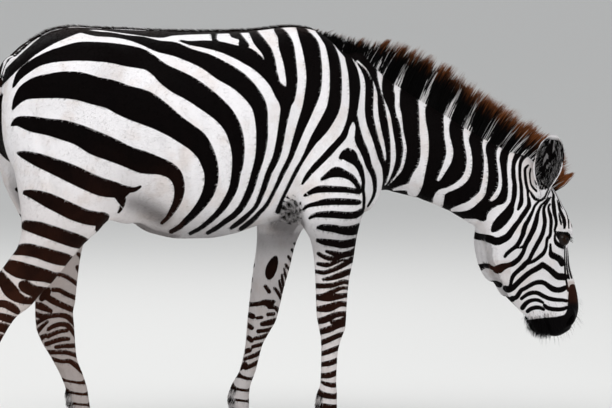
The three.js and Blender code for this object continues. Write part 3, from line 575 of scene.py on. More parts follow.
def ear_mesh(sign):
    steps, arc = 34, 22
    rings, inner, where = [], [], []
    share = np.linspace(-1, 1, arc)
    for u in np.linspace(-0.12, 0.975, steps):
        us = np.full(arc, u)
        wall = EAR_WALL * min(1, 0.35 + EAR_SHAPE(u)[0, 0])
        outside, inside = ear_point(sign, us, share, 1.0), ear_point(sign, us, share[::-1], wall - 0.6)
        rings.append(np.concatenate([outside, inside]))
        inner.append(np.r_[np.zeros(arc), np.ones(arc)])
        where.append(np.stack([np.full(2 * arc, u), np.r_[share, share[::-1]]], 1))
    points, faces = ring_tube(rings)
    extra = len(points) - 2 * arc * steps
    inner = np.concatenate(inner + [np.ones(extra)])
    where = np.concatenate(where + [np.array([[-0.12, 0], [0.975, 0]])[:extra]])
    if sign > 0:
        faces = faces[:, ::-1]
    return points, faces, inner, where


def tail_ring(place, count, shrink):
    curve = stations(TAIL)
    x, z, deep, wide = curve(place)[0]
    (ax, az), (bx, bz) = curve(place + 0.05)[0, :2], curve(place - 0.05)[0, :2]
    run = np.array([ax - bx, 0, az - bz])
    run /= np.linalg.norm(run)
    back = np.array([run[2], 0, -run[0]])
    angle = np.arange(count) / count * 2 * math.pi
    ring = np.array([x, 0, z]) + back * ((deep - shrink) * np.cos(angle))[:, None]
    ring[:, 1] += (wide - shrink) * np.sin(angle)
    return ring


# ---------------------------------------------------------------- markings
# Side chart: the animal as the photograph's camera sees it, a towards the head and b upwards, in centimetres.
# The stroke lists below are smooth curves in this chart. Their points and widths were read off the
# photograph under a grid of chart centimetres, so they are places in its picture at 0.315 cm for each pixel.
CHART_TURN, CHART_DROP = math.radians(12), math.radians(4.5)
# The camera aims at the centre from this far away; the chart's origin is where its centre lies in a and b.
CHART_CENTRE, CHART_REACH = np.array([985.4, 0.0, 755.2]), 15000.0
CHART_ORIGIN = (96.4, 75.3)


def side_chart(p):
    """Chart places of points in the body plan."""
    st, ct, sd, cd = math.sin(CHART_TURN), math.cos(CHART_TURN), math.sin(CHART_DROP), math.cos(CHART_DROP)
    rel = p - CHART_CENTRE
    scale = CHART_REACH / (CHART_REACH + rel @ np.array([st * cd, ct * cd, -sd])) / 10
    a = CHART_ORIGIN[0] + rel @ np.array([ct, -st, 0]) * scale
    return a, CHART_ORIGIN[1] + rel @ np.array([st * sd, ct * sd, cd]) * scale


# Under the jaw the two sides' markings meet this far left of the middle, in millimetres.
THROAT_FOLD = 42.0
# Half the width of the strip of fine lengthwise bars on the nose and on the forehead, and the bars' spacing.
FACE_FRONT, FOREHEAD_FRONT, FRONT_SPACING = 22.0, 62.0, 16.0
# The value of places far outside every stroke, in centimetres.
OUTSIDE = -2.0


def midline(x):
    """Turn of the middle plane and how far left of the trunk's it lies, because the head is turned."""
    turn = HEAD_YAW * ramp(x, 1450, 1690)
    middle = ramp(x, 1450, 1650) * (POLL[1] + (x - POLL[0]) * math.tan(HEAD_YAW))
    return turn, middle


def on_right_side(p):
    """The matching place on the animal's right side, with each leg brought to the stance of the right one."""
    p = p.copy()
    x, y, z = p.T
    inner = np.zeros(len(p))
    for end in ("front", "hind"):
        for side in ("right", "left"):
            sign, curve = LEG_CURVES[end + "_" + side]
            front, back, off, half = curve(z).T
            middle, deep = (front + back) / 2, (front - back) / 2
            near = (1 - ramp(np.abs(x - middle) / deep, 1.15, 1.7)) * (y * sign > 0) * (1 - ramp(z, 760, 980))
            hidden = near * (np.abs(y) < off) * (1 - ramp(z, 640, 760))
            inner = np.maximum(inner, hidden * np.clip((off - np.abs(y)) / half, 0, 1))
            mirror = np.where(hidden > 0.5, 2 * off - np.abs(y), np.abs(y))
            if side == "left":
                other = LEG_CURVES[end + "_right"][1](z)
                p[:, 0] = x + near * ((other[:, 0] + other[:, 1]) / 2 - middle)
            p[:, 1] = np.where(hidden > 0.5, sign * mirror, p[:, 1])
    turn, middle = midline(x)
    off = (p[:, 1] - middle) * np.cos(turn)
    along, rise = head_frame(p)[:2]
    head = (p[:, 0] > HEAD_X) & (z < HEAD_TOP)
    fold = THROAT_FOLD * (1 - ramp(rise, -150, -80)) * ramp(along, 40, 100) * head
    left = off > fold
    n = np.stack([-np.sin(turn), np.cos(turn), np.zeros(len(p))], 1)
    p = np.where(left[:, None], p - 2 * (off - fold)[:, None] * n, p)
    wander = 9 * np.sin(p[:, 0] / 95 + 1.3) + 6 * np.sin(p[:, 2] / 70)
    calm = ramp(np.abs(off), 10, 90) * left * (p[:, 0] < HEAD_X)
    p[:, 0] += calm * wander
    return p, inner, np.abs(off)


def smooth_path(path, steps=4):
    """A curve through a stroke's places, each followed by the stroke's width there."""
    path = np.array(path, float).reshape(-1, 3)
    ends = np.concatenate([2 * path[:1] - path[1:2], path, 2 * path[-1:] - path[-2:-1]])
    t = np.arange(steps)[:, None] / steps
    out = []
    for i in range(len(path) - 1):
        p0, p1, p2, p3 = ends[i:i + 4]
        out.append(0.5 * (2 * p1 + (p2 - p0) * t + (2 * p0 - 5 * p1 + 4 * p2 - p3) * t ** 2
                          + (3 * p1 - p0 - 3 * p2 + p3) * t ** 3))
    out = np.concatenate(out + [path[-1:]])
    out[:, 2] = np.maximum(out[:, 2], 0.1)
    return out


def strokes_field(a, b, strokes):
    """Centimetres inside the nearest stroke (positive) or outside all of them (negative)."""
    best = np.full(len(a), OUTSIDE)
    for path in strokes:
        line = smooth_path(path)
        reach = line[:, 2].max() / 2 + 1.6
        low, high = line[:, :2].min(0) - reach, line[:, :2].max(0) + reach
        near = np.nonzero((a > low[0]) & (a < high[0]) & (b > low[1]) & (b < high[1]))[0]
        if not len(near):
            continue
        qa, qb, found = a[near], b[near], best[near]
        for (a0, b0, w0), (a1, b1, w1) in zip(line[:-1], line[1:]):
            da, db = a1 - a0, b1 - b0
            t = np.clip(((qa - a0) * da + (qb - b0) * db) / max(da * da + db * db, 1e-9), 0, 1)
            gap = np.hypot(qa - a0 - t * da, qb - b0 - t * db)
            found = np.maximum(found, (w0 + (w1 - w0) * t) / 2 - gap)
        best[near] = found
    return best


# Each stroke lists a, b and its width.
HAUNCH = [
    [-4, 110.5, 3, 0, 114.2, 3, 5, 119, 2.9, 10, 123.4, 3.2, 15, 127, 4, 20, 129.7, 4.6, 25, 130.8, 3.2,
     30, 131, 1.6, 40, 130.2, 2.4, 50, 129.2, 3, 54, 129.6, 2.6, 60, 129.6, 1.8, 70, 130, 2, 80, 130.6, 2.4],
    [24, 130.3, 1.2, 30, 129, 1.5, 35, 128.6, 1.4, 40, 127.8, 1.4, 45, 126.7, 2.6, 50, 125, 3.6,
     55, 124.1, 4.3, 60, 122.1, 4.1, 65, 120.2, 5, 70, 117.2, 6, 75, 114.2, 5.8, 79, 110.3, 5.3,
     81.7, 106, 4.7, 82.5, 100, 3.8, 82.5, 95, 3.5, 81.8, 90, 2.8, 80.4, 85, 2.4, 78.9, 80, 2.3, 76.5, 75, 2,
     74, 72, 1.8, 71.3, 70, 1.6, 68, 67.6, 1.4, 65.5, 66.2, 1.2],
    [4.2, 112.3, 0.7, 6, 115.6, 2.2, 8.5, 118, 2.9, 12, 120.2, 3, 16, 121.7, 3.8, 20, 122.6, 4.7,
     25, 123.4, 5.8, 30, 123.3, 6.1, 35, 122.9, 6.2, 40, 122, 6.6, 44, 121.2, 6.3, 47, 120, 5.3,
     50, 117.8, 5.2, 52.5, 115.8, 6.2, 56, 113.7, 7.2, 60, 111.6, 7.2, 64, 108.9, 7, 68, 105.8, 6.5,
     71, 102.9, 5.9, 73.2, 99.5, 5.3, 74.4, 96, 4.8, 75, 92, 4.1, 74.9, 88, 3.5, 74.4, 85, 2.9, 73.4, 80, 2.6,
     70.7, 75, 2.2, 68.5, 72.3, 1.8, 66.1, 70, 1.6, 63, 67.6, 1.3, 60, 66, 1.1],
    [4, 105.2, 0.6, 5.5, 108, 2.6, 8, 110.6, 4.8, 12, 112, 6.9, 16, 112.5, 7.7, 20, 112.8, 8.4,
     25, 112.4, 8.8, 30, 111, 8.8, 35, 109.8, 9.1, 40, 107.6, 9.9, 45, 105.9, 10.5, 50, 103.2, 9,
     55, 99.9, 7.4, 59, 97.2, 7, 62, 95, 6.8, 64.6, 91.5, 5.7, 66, 88, 5.1, 66.6, 85, 4.5, 66.4, 81.5, 4.1,
     65.2, 78, 3.6, 63.3, 75, 2.9, 61, 72.2, 2.4, 58.6, 69.9, 2, 56.5, 68, 1.6, 54, 66.6, 1.4],
    [3.8, 100.2, 0.8, 6, 101.3, 3, 10, 100.5, 4.8, 15, 99.6, 5.2, 20, 98.6, 6.2, 25, 97, 6.5, 30, 94.5, 7.5,
     35, 92.5, 7.2, 40, 90.3, 6.6, 45, 88.5, 7, 50, 87.3, 5.4, 53, 86.2, 4.8, 55.3, 84.3, 4.2,
     56.4, 81.5, 3.5, 56.5, 79, 3.1, 55.8, 76, 2.5, 54.3, 73.2, 1.9, 52.8, 71, 1.3, 51, 69.3, 1],
    [5.8, 91.3, 1, 8, 90.7, 2.6, 12, 89.2, 4.1, 16, 87.6, 4.7, 20, 86, 5.3, 24, 84.2, 5.6, 28, 82.3, 5.5,
     32, 80.7, 5.5, 35.5, 79.9, 5.1, 38.5, 79.3, 4, 40, 79.8, 2.4, 42.5, 79.9, 1.4, 44.3, 80.8, 0.7],
    [38, 77.5, 3.4, 38.6, 75, 1.4, 37.4, 72.6, 0.7],
    [8, 78.9, 1.3, 11, 78.2, 2.8, 15, 76.6, 4.1, 19, 74.7, 4.4, 23, 72.8, 4.5, 27, 71.3, 4.1, 30.5, 70.7, 3.9,
     32.5, 71, 3.2, 33.6, 71.4, 1.6],
    [31.5, 69.5, 2, 30.8, 67.3, 0.9],
    [8.3, 68.6, 2.6, 12, 67.7, 3.6, 16, 66.4, 3.8, 20, 65, 3.9, 24, 63.7, 3.8, 26.6, 63, 2.8],
    [5, 60.6, 2, 8, 61, 3.1, 12, 60.2, 3.2, 16, 58.9, 3.5, 20, 57.9, 3.3, 22, 57.8, 1.8],
    [3.2, 55.7, 3.4, 6, 54.6, 4.4, 10, 53.6, 4.1, 14, 52.8, 3.3, 17, 52, 2.8, 19.5, 52.7, 1.2, 21.5, 52, 1,
     23.8, 50.6, 0.9],
    [6.9, 49.9, 1.4, 8, 49.3, 2.9, 10.5, 48, 2.8, 13, 48.1, 1.6, 15, 48.2, 0.8],
    [-1, 54, 2, 1.5, 50.5, 3, 3.5, 47.8, 3.6, 6, 45.7, 2.2, 9, 44.8, 1.4, 12, 45.5, 1.6, 14.5, 47, 2.4,
     15.5, 45.5, 2],
    [16.8, 48.2, 0.9, 19, 47.7, 1.1, 21.5, 46.5, 1.1, 23.4, 45.6, 1],
    [24.4, 55.4, 1, 25, 54.2, 0.9],
    [25, 59.3, 1],
    [16, 45.4, 0.9, 17.5, 44, 1.2, 20, 43, 1.4, 22, 42.2, 1.1, 23.5, 41.2, 0.9],
    [-2, 43.5, 1.4, 1, 43.9, 1.5, 4, 42.6, 1.8, 5.5, 41.4, 1],
    [11.5, 43.3, 1.8, 14, 42.6, 1.8, 16.2, 41.3, 0.7],
    [-2, 40.5, 1, 2, 39.4, 1.7, 5, 38.8, 1.4, 9, 40, 1, 12, 39.8, 1.6, 15, 39.8, 1.3, 19, 40, 1.2,
     22, 39, 1.3, 23.9, 37.3, 0.9],
    [-3, 37.2, 1.4, 0, 36.6, 1.9, 3, 35.8, 2, 6, 36.2, 0.8],
    [11.2, 37.8, 1.6, 12.7, 36, 0.8],
    [15.2, 36, 0.7, 17, 36.6, 1, 19.5, 37.3, 1.1, 22, 35.9, 0.9, 23.2, 34.4, 0.7],
    [13, 34.2, 1.6, 16.5, 33.8, 0.9, 19, 35, 0.9, 21, 35.3, 0.7],
    [-3, 33.2, 1.8, 0.5, 33, 1.8, 3, 31.6, 0.8],
    [15, 31.3, 0.8, 18, 32.2, 1, 21, 33, 0.9],
    [17.8, 30.3, 0.6, 20.5, 30.7, 0.9, 23, 30.8, 1],
    [15, 28.7, 0.9, 18, 28.7, 0.9, 21, 28.3, 0.9, 24, 27.7, 0.9],
    [16.8, 26.3, 0.7, 20.5, 26.1, 0.9, 23, 25, 1, 26, 23, 1],
    [17.5, 24.5, 1.2, 18.5, 22.6, 1.5, 20, 20.4, 1.4],
    [21, 23.6, 0.6, 23, 21.6, 0.6],
]
BARREL = [
    [57, 126.7, 0.6, 60, 126, 1.3, 65, 125.6, 2.4, 70, 124.7, 3.3, 75, 123, 4.2, 78, 121.9, 5.2,
     81, 119.8, 4.6, 83.4, 117, 3.4, 85.3, 115, 3.4, 86.8, 112.8, 3.2, 88.6, 110.4, 4.4, 89.8, 108, 4.2,
     89.9, 105, 3.1, 89, 100, 2.5, 88.2, 95, 2.4, 87, 90, 2.2, 84.7, 85, 1.9, 83, 80, 1.7, 80.9, 75, 1.3,
     78.8, 72.5, 1.3, 76, 70, 1.6, 73, 67.8, 1.2],
    [67.5, 129.4, 2, 67.6, 127, 1.4, 69, 126, 1],
    [74, 129, 3, 76, 127.5, 1.6, 76.8, 125.2, 3.4],
    [79.8, 129.5, 2.6, 81.6, 126.6, 3.4, 84, 123.5, 3.3, 85.2, 120, 3.2, 85.6, 117, 3.4, 86.6, 113.8, 3],
    [87.6, 130.2, 2.4, 89.3, 128, 3.5, 90.2, 125, 4.7, 91.3, 120, 4, 91.9, 115, 3.6, 91.8, 112, 3.4,
     90.8, 109, 4.4, 90, 106.5, 3.4],
    [94.6, 130.8, 2.4, 96.2, 128, 4, 97.8, 125, 5.4, 98.7, 120, 5.2, 99, 115, 4.9, 98.4, 110, 4.7,
     96.9, 105, 3.6, 95, 100, 2.9, 93.2, 95, 2.2, 91.5, 90, 1.6, 89, 85, 1.5, 86.7, 80, 1.1, 84, 75, 1.2,
     81.7, 72.5, 1.3, 79.6, 70.2, 1.6, 76, 67.5, 1.4],
    [100.5, 130, 2, 102.6, 127.5, 2.5, 104, 125, 2.7, 105.4, 120, 3.5, 105.8, 115, 3.7, 105.7, 110, 3.9,
     104.8, 105, 4.1, 102.1, 100, 3.8, 100, 97, 3.1, 98.6, 95, 2.4, 95.8, 90, 1.2, 93, 85, 1.2, 90.5, 80, 1,
     88.8, 76.5, 1, 87.6, 73, 1.6],
    [105.5, 127.5, 2.6, 107, 125, 2, 109.4, 122, 1.8, 110, 120.4, 2.2, 111.2, 117, 3.1, 111.8, 112, 3.5,
     111.5, 107, 2.9, 111, 103.6, 2.7, 109.6, 100.2, 1.6, 108.4, 97, 2, 106.8, 95, 2, 104.4, 92.4, 2.1,
     102.2, 90, 2, 100, 87.8, 1.9, 98, 85.6, 1.6, 96.3, 83.4, 1.2, 95.2, 81.6, 0.6],
    [111.6, 103, 2, 112.6, 100, 1.3, 112.9, 97, 2.2, 113.3, 95, 2.7, 115, 91.4, 2.4, 116.2, 87.5, 1.9,
     117.6, 84.5, 1.6, 118.1, 81.5, 1.2, 118, 79, 0.9, 117.3, 77, 0.7, 115.9, 74.6, 0.5],
]
SHOULDER = [
    [107.2, 89.9, 1, 108.8, 90.8, 3, 110.2, 90.6, 4.2, 111.8, 88.9, 2.6, 113.2, 87, 2, 114, 84.8, 1.5,
     114.5, 82.3, 1, 114.3, 80, 1],
    [109.6, 92.6, 0.9, 109.6, 90.8, 3.4],
    [101.5, 83.2, 1, 103.5, 84.4, 1.9, 106, 85.4, 3.2, 108.5, 84.7, 2.4, 110.7, 83.6, 2, 112.2, 81.9, 1.5,
     113.2, 80.2, 1.4],
    [96, 78, 0.8, 98.5, 79.3, 1.5, 101, 80, 2.1, 105, 80, 1.9, 109, 79.8, 1.7, 113, 79.2, 1.5],
    [114.3, 80, 0.9, 114.7, 77.5, 0.8, 114.6, 74, 0.7],
    [95.5, 73.6, 0.6, 97, 74.7, 1, 99.5, 75.3, 1.3, 102.5, 75.9, 1.9, 106, 76.1, 2, 112, 75.9, 1.7,
     113.3, 75.9, 1],
    [97.5, 70.8, 0.6, 99, 71.7, 1.2, 101.5, 72, 1.8, 105, 72, 2.1, 109, 71.7, 2.1, 112, 71.9, 2,
     114, 73.1, 1.5],
    [100.2, 67.9, 0.8, 102, 67.9, 1.9, 105, 67.6, 2.2, 108, 67, 2.5, 111, 67, 2.9, 113.3, 67.8, 2.8],
    [100, 63.9, 1, 102, 63.4, 1.8, 105, 63, 2.1, 108, 62.6, 2.4, 110.5, 63, 2.3, 113, 63.8, 2.1],
    [102.8, 60.4, 0.7, 105, 59.8, 1.3, 108, 59.3, 1.6, 111, 60.1, 1.7, 112.5, 61.2, 1.5],
    [100.3, 59.7, 1, 102.5, 58.5, 1.2, 105, 58.1, 1.1, 108, 58.9, 1],
    [100.2, 56.5, 1, 103, 56.1, 1.3, 105.4, 56.8, 1, 107, 57.4, 0.6],
    [99, 54.2, 0.9, 102, 53.7, 1.2, 105, 54.6, 1.2, 108, 56, 1.4, 110.5, 57.6, 1.6],
    [101.8, 51.6, 0.7, 104, 51.9, 1.3, 107, 52.8, 1.7, 109.7, 53.9, 1.7],
    [99.3, 49.6, 1.4, 102, 49.5, 1.4, 105, 49.8, 1.3, 108, 50.8, 1.3, 109.7, 50.6, 1.2],
    [99.5, 46.2, 0.9, 102, 46.5, 1, 104.5, 47.6, 1.1, 107.5, 48.8, 0.9, 109.5, 48.8, 0.7],
    [99.8, 45.9, 1.1, 103, 45.6, 1.5, 106, 46.1, 1.5, 109, 46.6, 1],
    [99.3, 42.3, 0.7, 101.5, 42.3, 1.6, 104, 42.7, 2, 107, 43.8, 1.3, 109.5, 43.7, 1],
    [99.8, 38.3, 1.3, 102.5, 38.9, 1.6, 105.5, 40.3, 1.3, 108.7, 40.8, 1],
    [104.5, 38, 0.6, 107, 38.3, 1, 109, 39.2, 1],
    [100.8, 35, 1.3, 103.5, 35.8, 1.5, 106.5, 37, 1.2],
    [101.2, 31.6, 1.2, 103.5, 32.5, 1.1, 107, 34, 1],
    [101.5, 28.2, 1, 103.5, 28.8, 1.1, 107, 30.2, 1],
    [101.5, 24.8, 1, 104, 25.2, 1.2, 107, 26.4, 1],
    [101.5, 21.2, 1.1, 104, 21.4, 1.3, 107, 22.6, 1.1],
]
# Bars on the inner and front faces of the left legs, which the right legs don't share.
LEFT_LEGS = [
    [24.4, 55.4, 1, 25, 54.2, 0.9],
    [24.6, 59.6, 0.8, 25.4, 58.8, 0.8],
    [18, 53.2, 0.8, 20.5, 52.6, 1, 22.5, 51.4, 1, 24.4, 50, 1],
    [16.8, 48.3, 1.1, 18.8, 48.1, 1.1, 20.8, 47, 1.1, 23.6, 45.8, 1.1],
    [14.8, 46, 1.6, 16.4, 45, 1.8, 18.5, 43.9, 1.6, 21, 42.8, 1.5, 23.8, 41.6, 1.3],
    [11, 43.6, 1.6, 13.5, 42.8, 1.9, 16, 41.6, 0.9],
    [11, 40.8, 1.2, 13.4, 39.8, 1.4, 16.5, 40.1, 1.1, 19, 40.3, 1.1, 21.2, 39.8, 1.4, 23, 38.3, 1.4,
     24.2, 36.6, 1.1],
    [15.2, 35.8, 0.8, 17, 36.9, 1, 19, 37.4, 1.1, 21, 37.2, 1.2, 22.6, 35.6, 1, 23.9, 33.4, 0.7],
    [11, 37.8, 1.6, 12.6, 38.4, 0.8, 14.6, 39.4, 0.5],
    [11.8, 35.2, 1.2, 13.4, 36.8, 0.8, 15, 38.2, 0.5],
    [15, 33.6, 1, 17, 34.5, 1, 19, 35.2, 0.9, 21, 35.4, 0.8],
    [12.8, 33, 1.4, 14.4, 34, 0.8],
    [14.6, 31.2, 1.1, 17.5, 32.2, 1.1, 20, 32.8, 1.1, 21.6, 32.8, 0.8],
    [17.6, 30.2, 0.8, 20, 30.6, 1, 22, 30.6, 1.1, 24, 30.8, 1],
    [14.8, 28.6, 1.1, 18, 28.6, 1, 21, 28.5, 1, 24.8, 27.4, 1.1],
    [16.4, 26.5, 0.9, 19.5, 25.7, 0.8, 21.8, 25.8, 1.1, 24, 24.4, 1.3, 26.4, 22.2, 1.3],
    [92.8, 62.9, 0.9, 94.2, 62.4, 0.8],
    [92, 60.9, 1, 93.2, 59.4, 0.9],
    [90.8, 58.8, 0.9, 92.2, 57, 1],
    [90, 56.3, 0.8, 91.4, 54.2, 0.9],
    [89.5, 55, 0.6, 89.9, 53, 0.8, 90.4, 51.2, 0.7],
    [88.8, 53, 0.7, 89, 51, 0.9, 89.5, 48.8, 0.9],
    [87.9, 51.3, 0.6, 88.3, 49.5, 0.9, 89, 47.4, 0.9],
    [86.6, 48.9, 0.7, 87.6, 47.3, 1.1, 88.6, 45.6, 1.1],
    [83.6, 49.4, 0.8, 84.8, 47.7, 0.9],
    [78, 43.6, 1.1, 81, 43.8, 1, 83.5, 44.3, 1.5, 84.7, 44, 2, 86.3, 44.6, 0.7],
    [84.8, 42.8, 0.9, 86.8, 42.6, 0.9, 88.4, 40.8, 1.1],
    [78, 40.6, 1.3, 79.6, 39.9, 1.4],
    [81, 39.4, 0.6, 82.5, 39.6, 0.7],
    [84.4, 40.5, 0.8, 86.2, 40.7, 0.8],
    [82.6, 37.5, 1.1, 85, 38, 1.5, 87.6, 38.9, 1.2],
    [78, 37.2, 1.1, 79.3, 36.3, 1.1],
    [81.4, 35.2, 1, 83.5, 35.5, 0.8, 85.9, 36, 0.9],
    [80.4, 32.9, 0.9, 82.5, 33.4, 0.9, 84.6, 34.2, 0.7],
    [79.6, 30.3, 0.7, 82, 31, 0.9, 84, 31.6, 0.7],
    [77, 26.5, 0.7, 80, 27.5, 1, 82.6, 29, 0.9],
    [77.4, 23.6, 0.9, 79.6, 24.6, 1, 81.8, 25.8, 0.9],
    [76.6, 28.6, 1.3, 78.6, 29.3, 1.2],
    [78.2, 33.2, 1.2, 79.2, 32.4, 1.2],
    [75.8, 23.8, 1.4, 77.2, 24.8, 1.3],
    # A bar on the far hind leg, drawn wider to take in the painted shadow between the legs.
    [13.2, 45.6, 1.6, 14.6, 47.2, 2.2, 15.3, 48.3, 1.2],
]
CHESTNUT = [[86.8, 58.4, 1.4, 86.3, 57, 2.8, 85.5, 55, 3.5, 85, 53.3, 3, 84.8, 52.3, 1.8]]
# White strokes cut into the black of the neck.
NECK_WHITE = [
    [112.6, 120.3, 0.9, 115, 118.2, 0.7, 116.5, 115.8, 0.55, 117.7, 113.4, 0.6, 118.3, 110, 1.4,
     118.3, 106.5, 1.7, 118.5, 103, 1.9, 119.3, 99, 1.8, 120.3, 95, 1.7, 121, 92, 1.3, 121.3, 90, 1,
     121.4, 88.6, 0.5],
    [120, 117.4, 2.6, 119.8, 115.5, 2, 119.9, 113, 1.2, 120.3, 110.5, 0.65, 121.2, 107.6, 0.65,
     122.1, 104.5, 1.3, 122.8, 101, 1.5, 123.4, 97, 1.5, 123.8, 93.5, 1.8, 123.9, 90, 1.9, 123.6, 87.5, 1.6,
     123, 85, 1.2, 122.2, 82.8, 0.9, 121.3, 81.2, 0.6],
    [127, 115, 2.6, 125.3, 112.3, 2.6, 125.2, 109.5, 1.8, 125.2, 106, 1.8, 125.7, 103.5, 1.9, 126.3, 101, 1.3,
     126.7, 98.5, 1, 127.1, 96, 1.2, 127.6, 93, 1.3, 127.4, 90.5, 1.4, 126.9, 88, 1.3, 126.2, 86, 1.2,
     125, 84.3, 0.9, 123.8, 82.8, 0.7, 122.3, 81.2, 0.5],
    [135, 110, 3.4, 133.4, 107.5, 3.2, 133, 105, 2.2, 133.2, 101, 2.4, 133.5, 98, 2.9, 133.8, 94.5, 2.9,
     133.7, 90.5, 2.8, 133, 87, 2.9, 131.9, 84.3, 4, 131, 81.6, 4.6, 130.2, 79.4, 4.2],
    [131, 81, 3, 128.5, 80.6, 2.4, 126, 80.2, 1.6, 124, 79.8, 1],
    [143, 105.5, 3, 141.2, 103, 3, 140.7, 100, 2, 140.8, 97, 2, 141.4, 94, 2.3, 141.7, 91.5, 2.5,
     141.2, 89, 2.5, 140.2, 86.8, 2.1, 139.2, 84.8, 1.7, 138.2, 83, 1.3],
    [149, 101.5, 2.8, 147.3, 98.5, 2.8, 146.9, 95.5, 1.9, 147.5, 92.5, 2, 147.9, 89.5, 2, 147.7, 86.5, 2.2,
     146.9, 84, 2.4, 145.2, 82, 2.3, 143, 80.6, 2, 141, 79.7, 1.8, 139.2, 78.9, 2.6, 138.3, 77.3, 3.6,
     138, 75.4, 3.6],
    [155, 98, 1.6, 153.4, 96, 2, 152.6, 94, 1.6, 152.6, 92, 1.1, 153, 89.5, 1.3, 153.1, 86, 1.7,
     152.9, 83, 1.9, 152.4, 80.5, 2.1, 151.8, 78.5, 2.4, 150, 76.6, 2.6, 147.5, 74.7, 2.8, 144.8, 73.9, 2.4,
     142.5, 73.4, 1.4],
    [159.4, 96, 1.2, 158.4, 94, 1.5, 157.2, 92, 1.6, 156.9, 89.5, 1.2, 157.3, 86.5, 1.2, 157.6, 83.5, 1.3,
     157.5, 81, 1.5, 156.8, 79, 1.7, 155.7, 77.4, 1.7, 154.8, 76.6, 1.2],
]
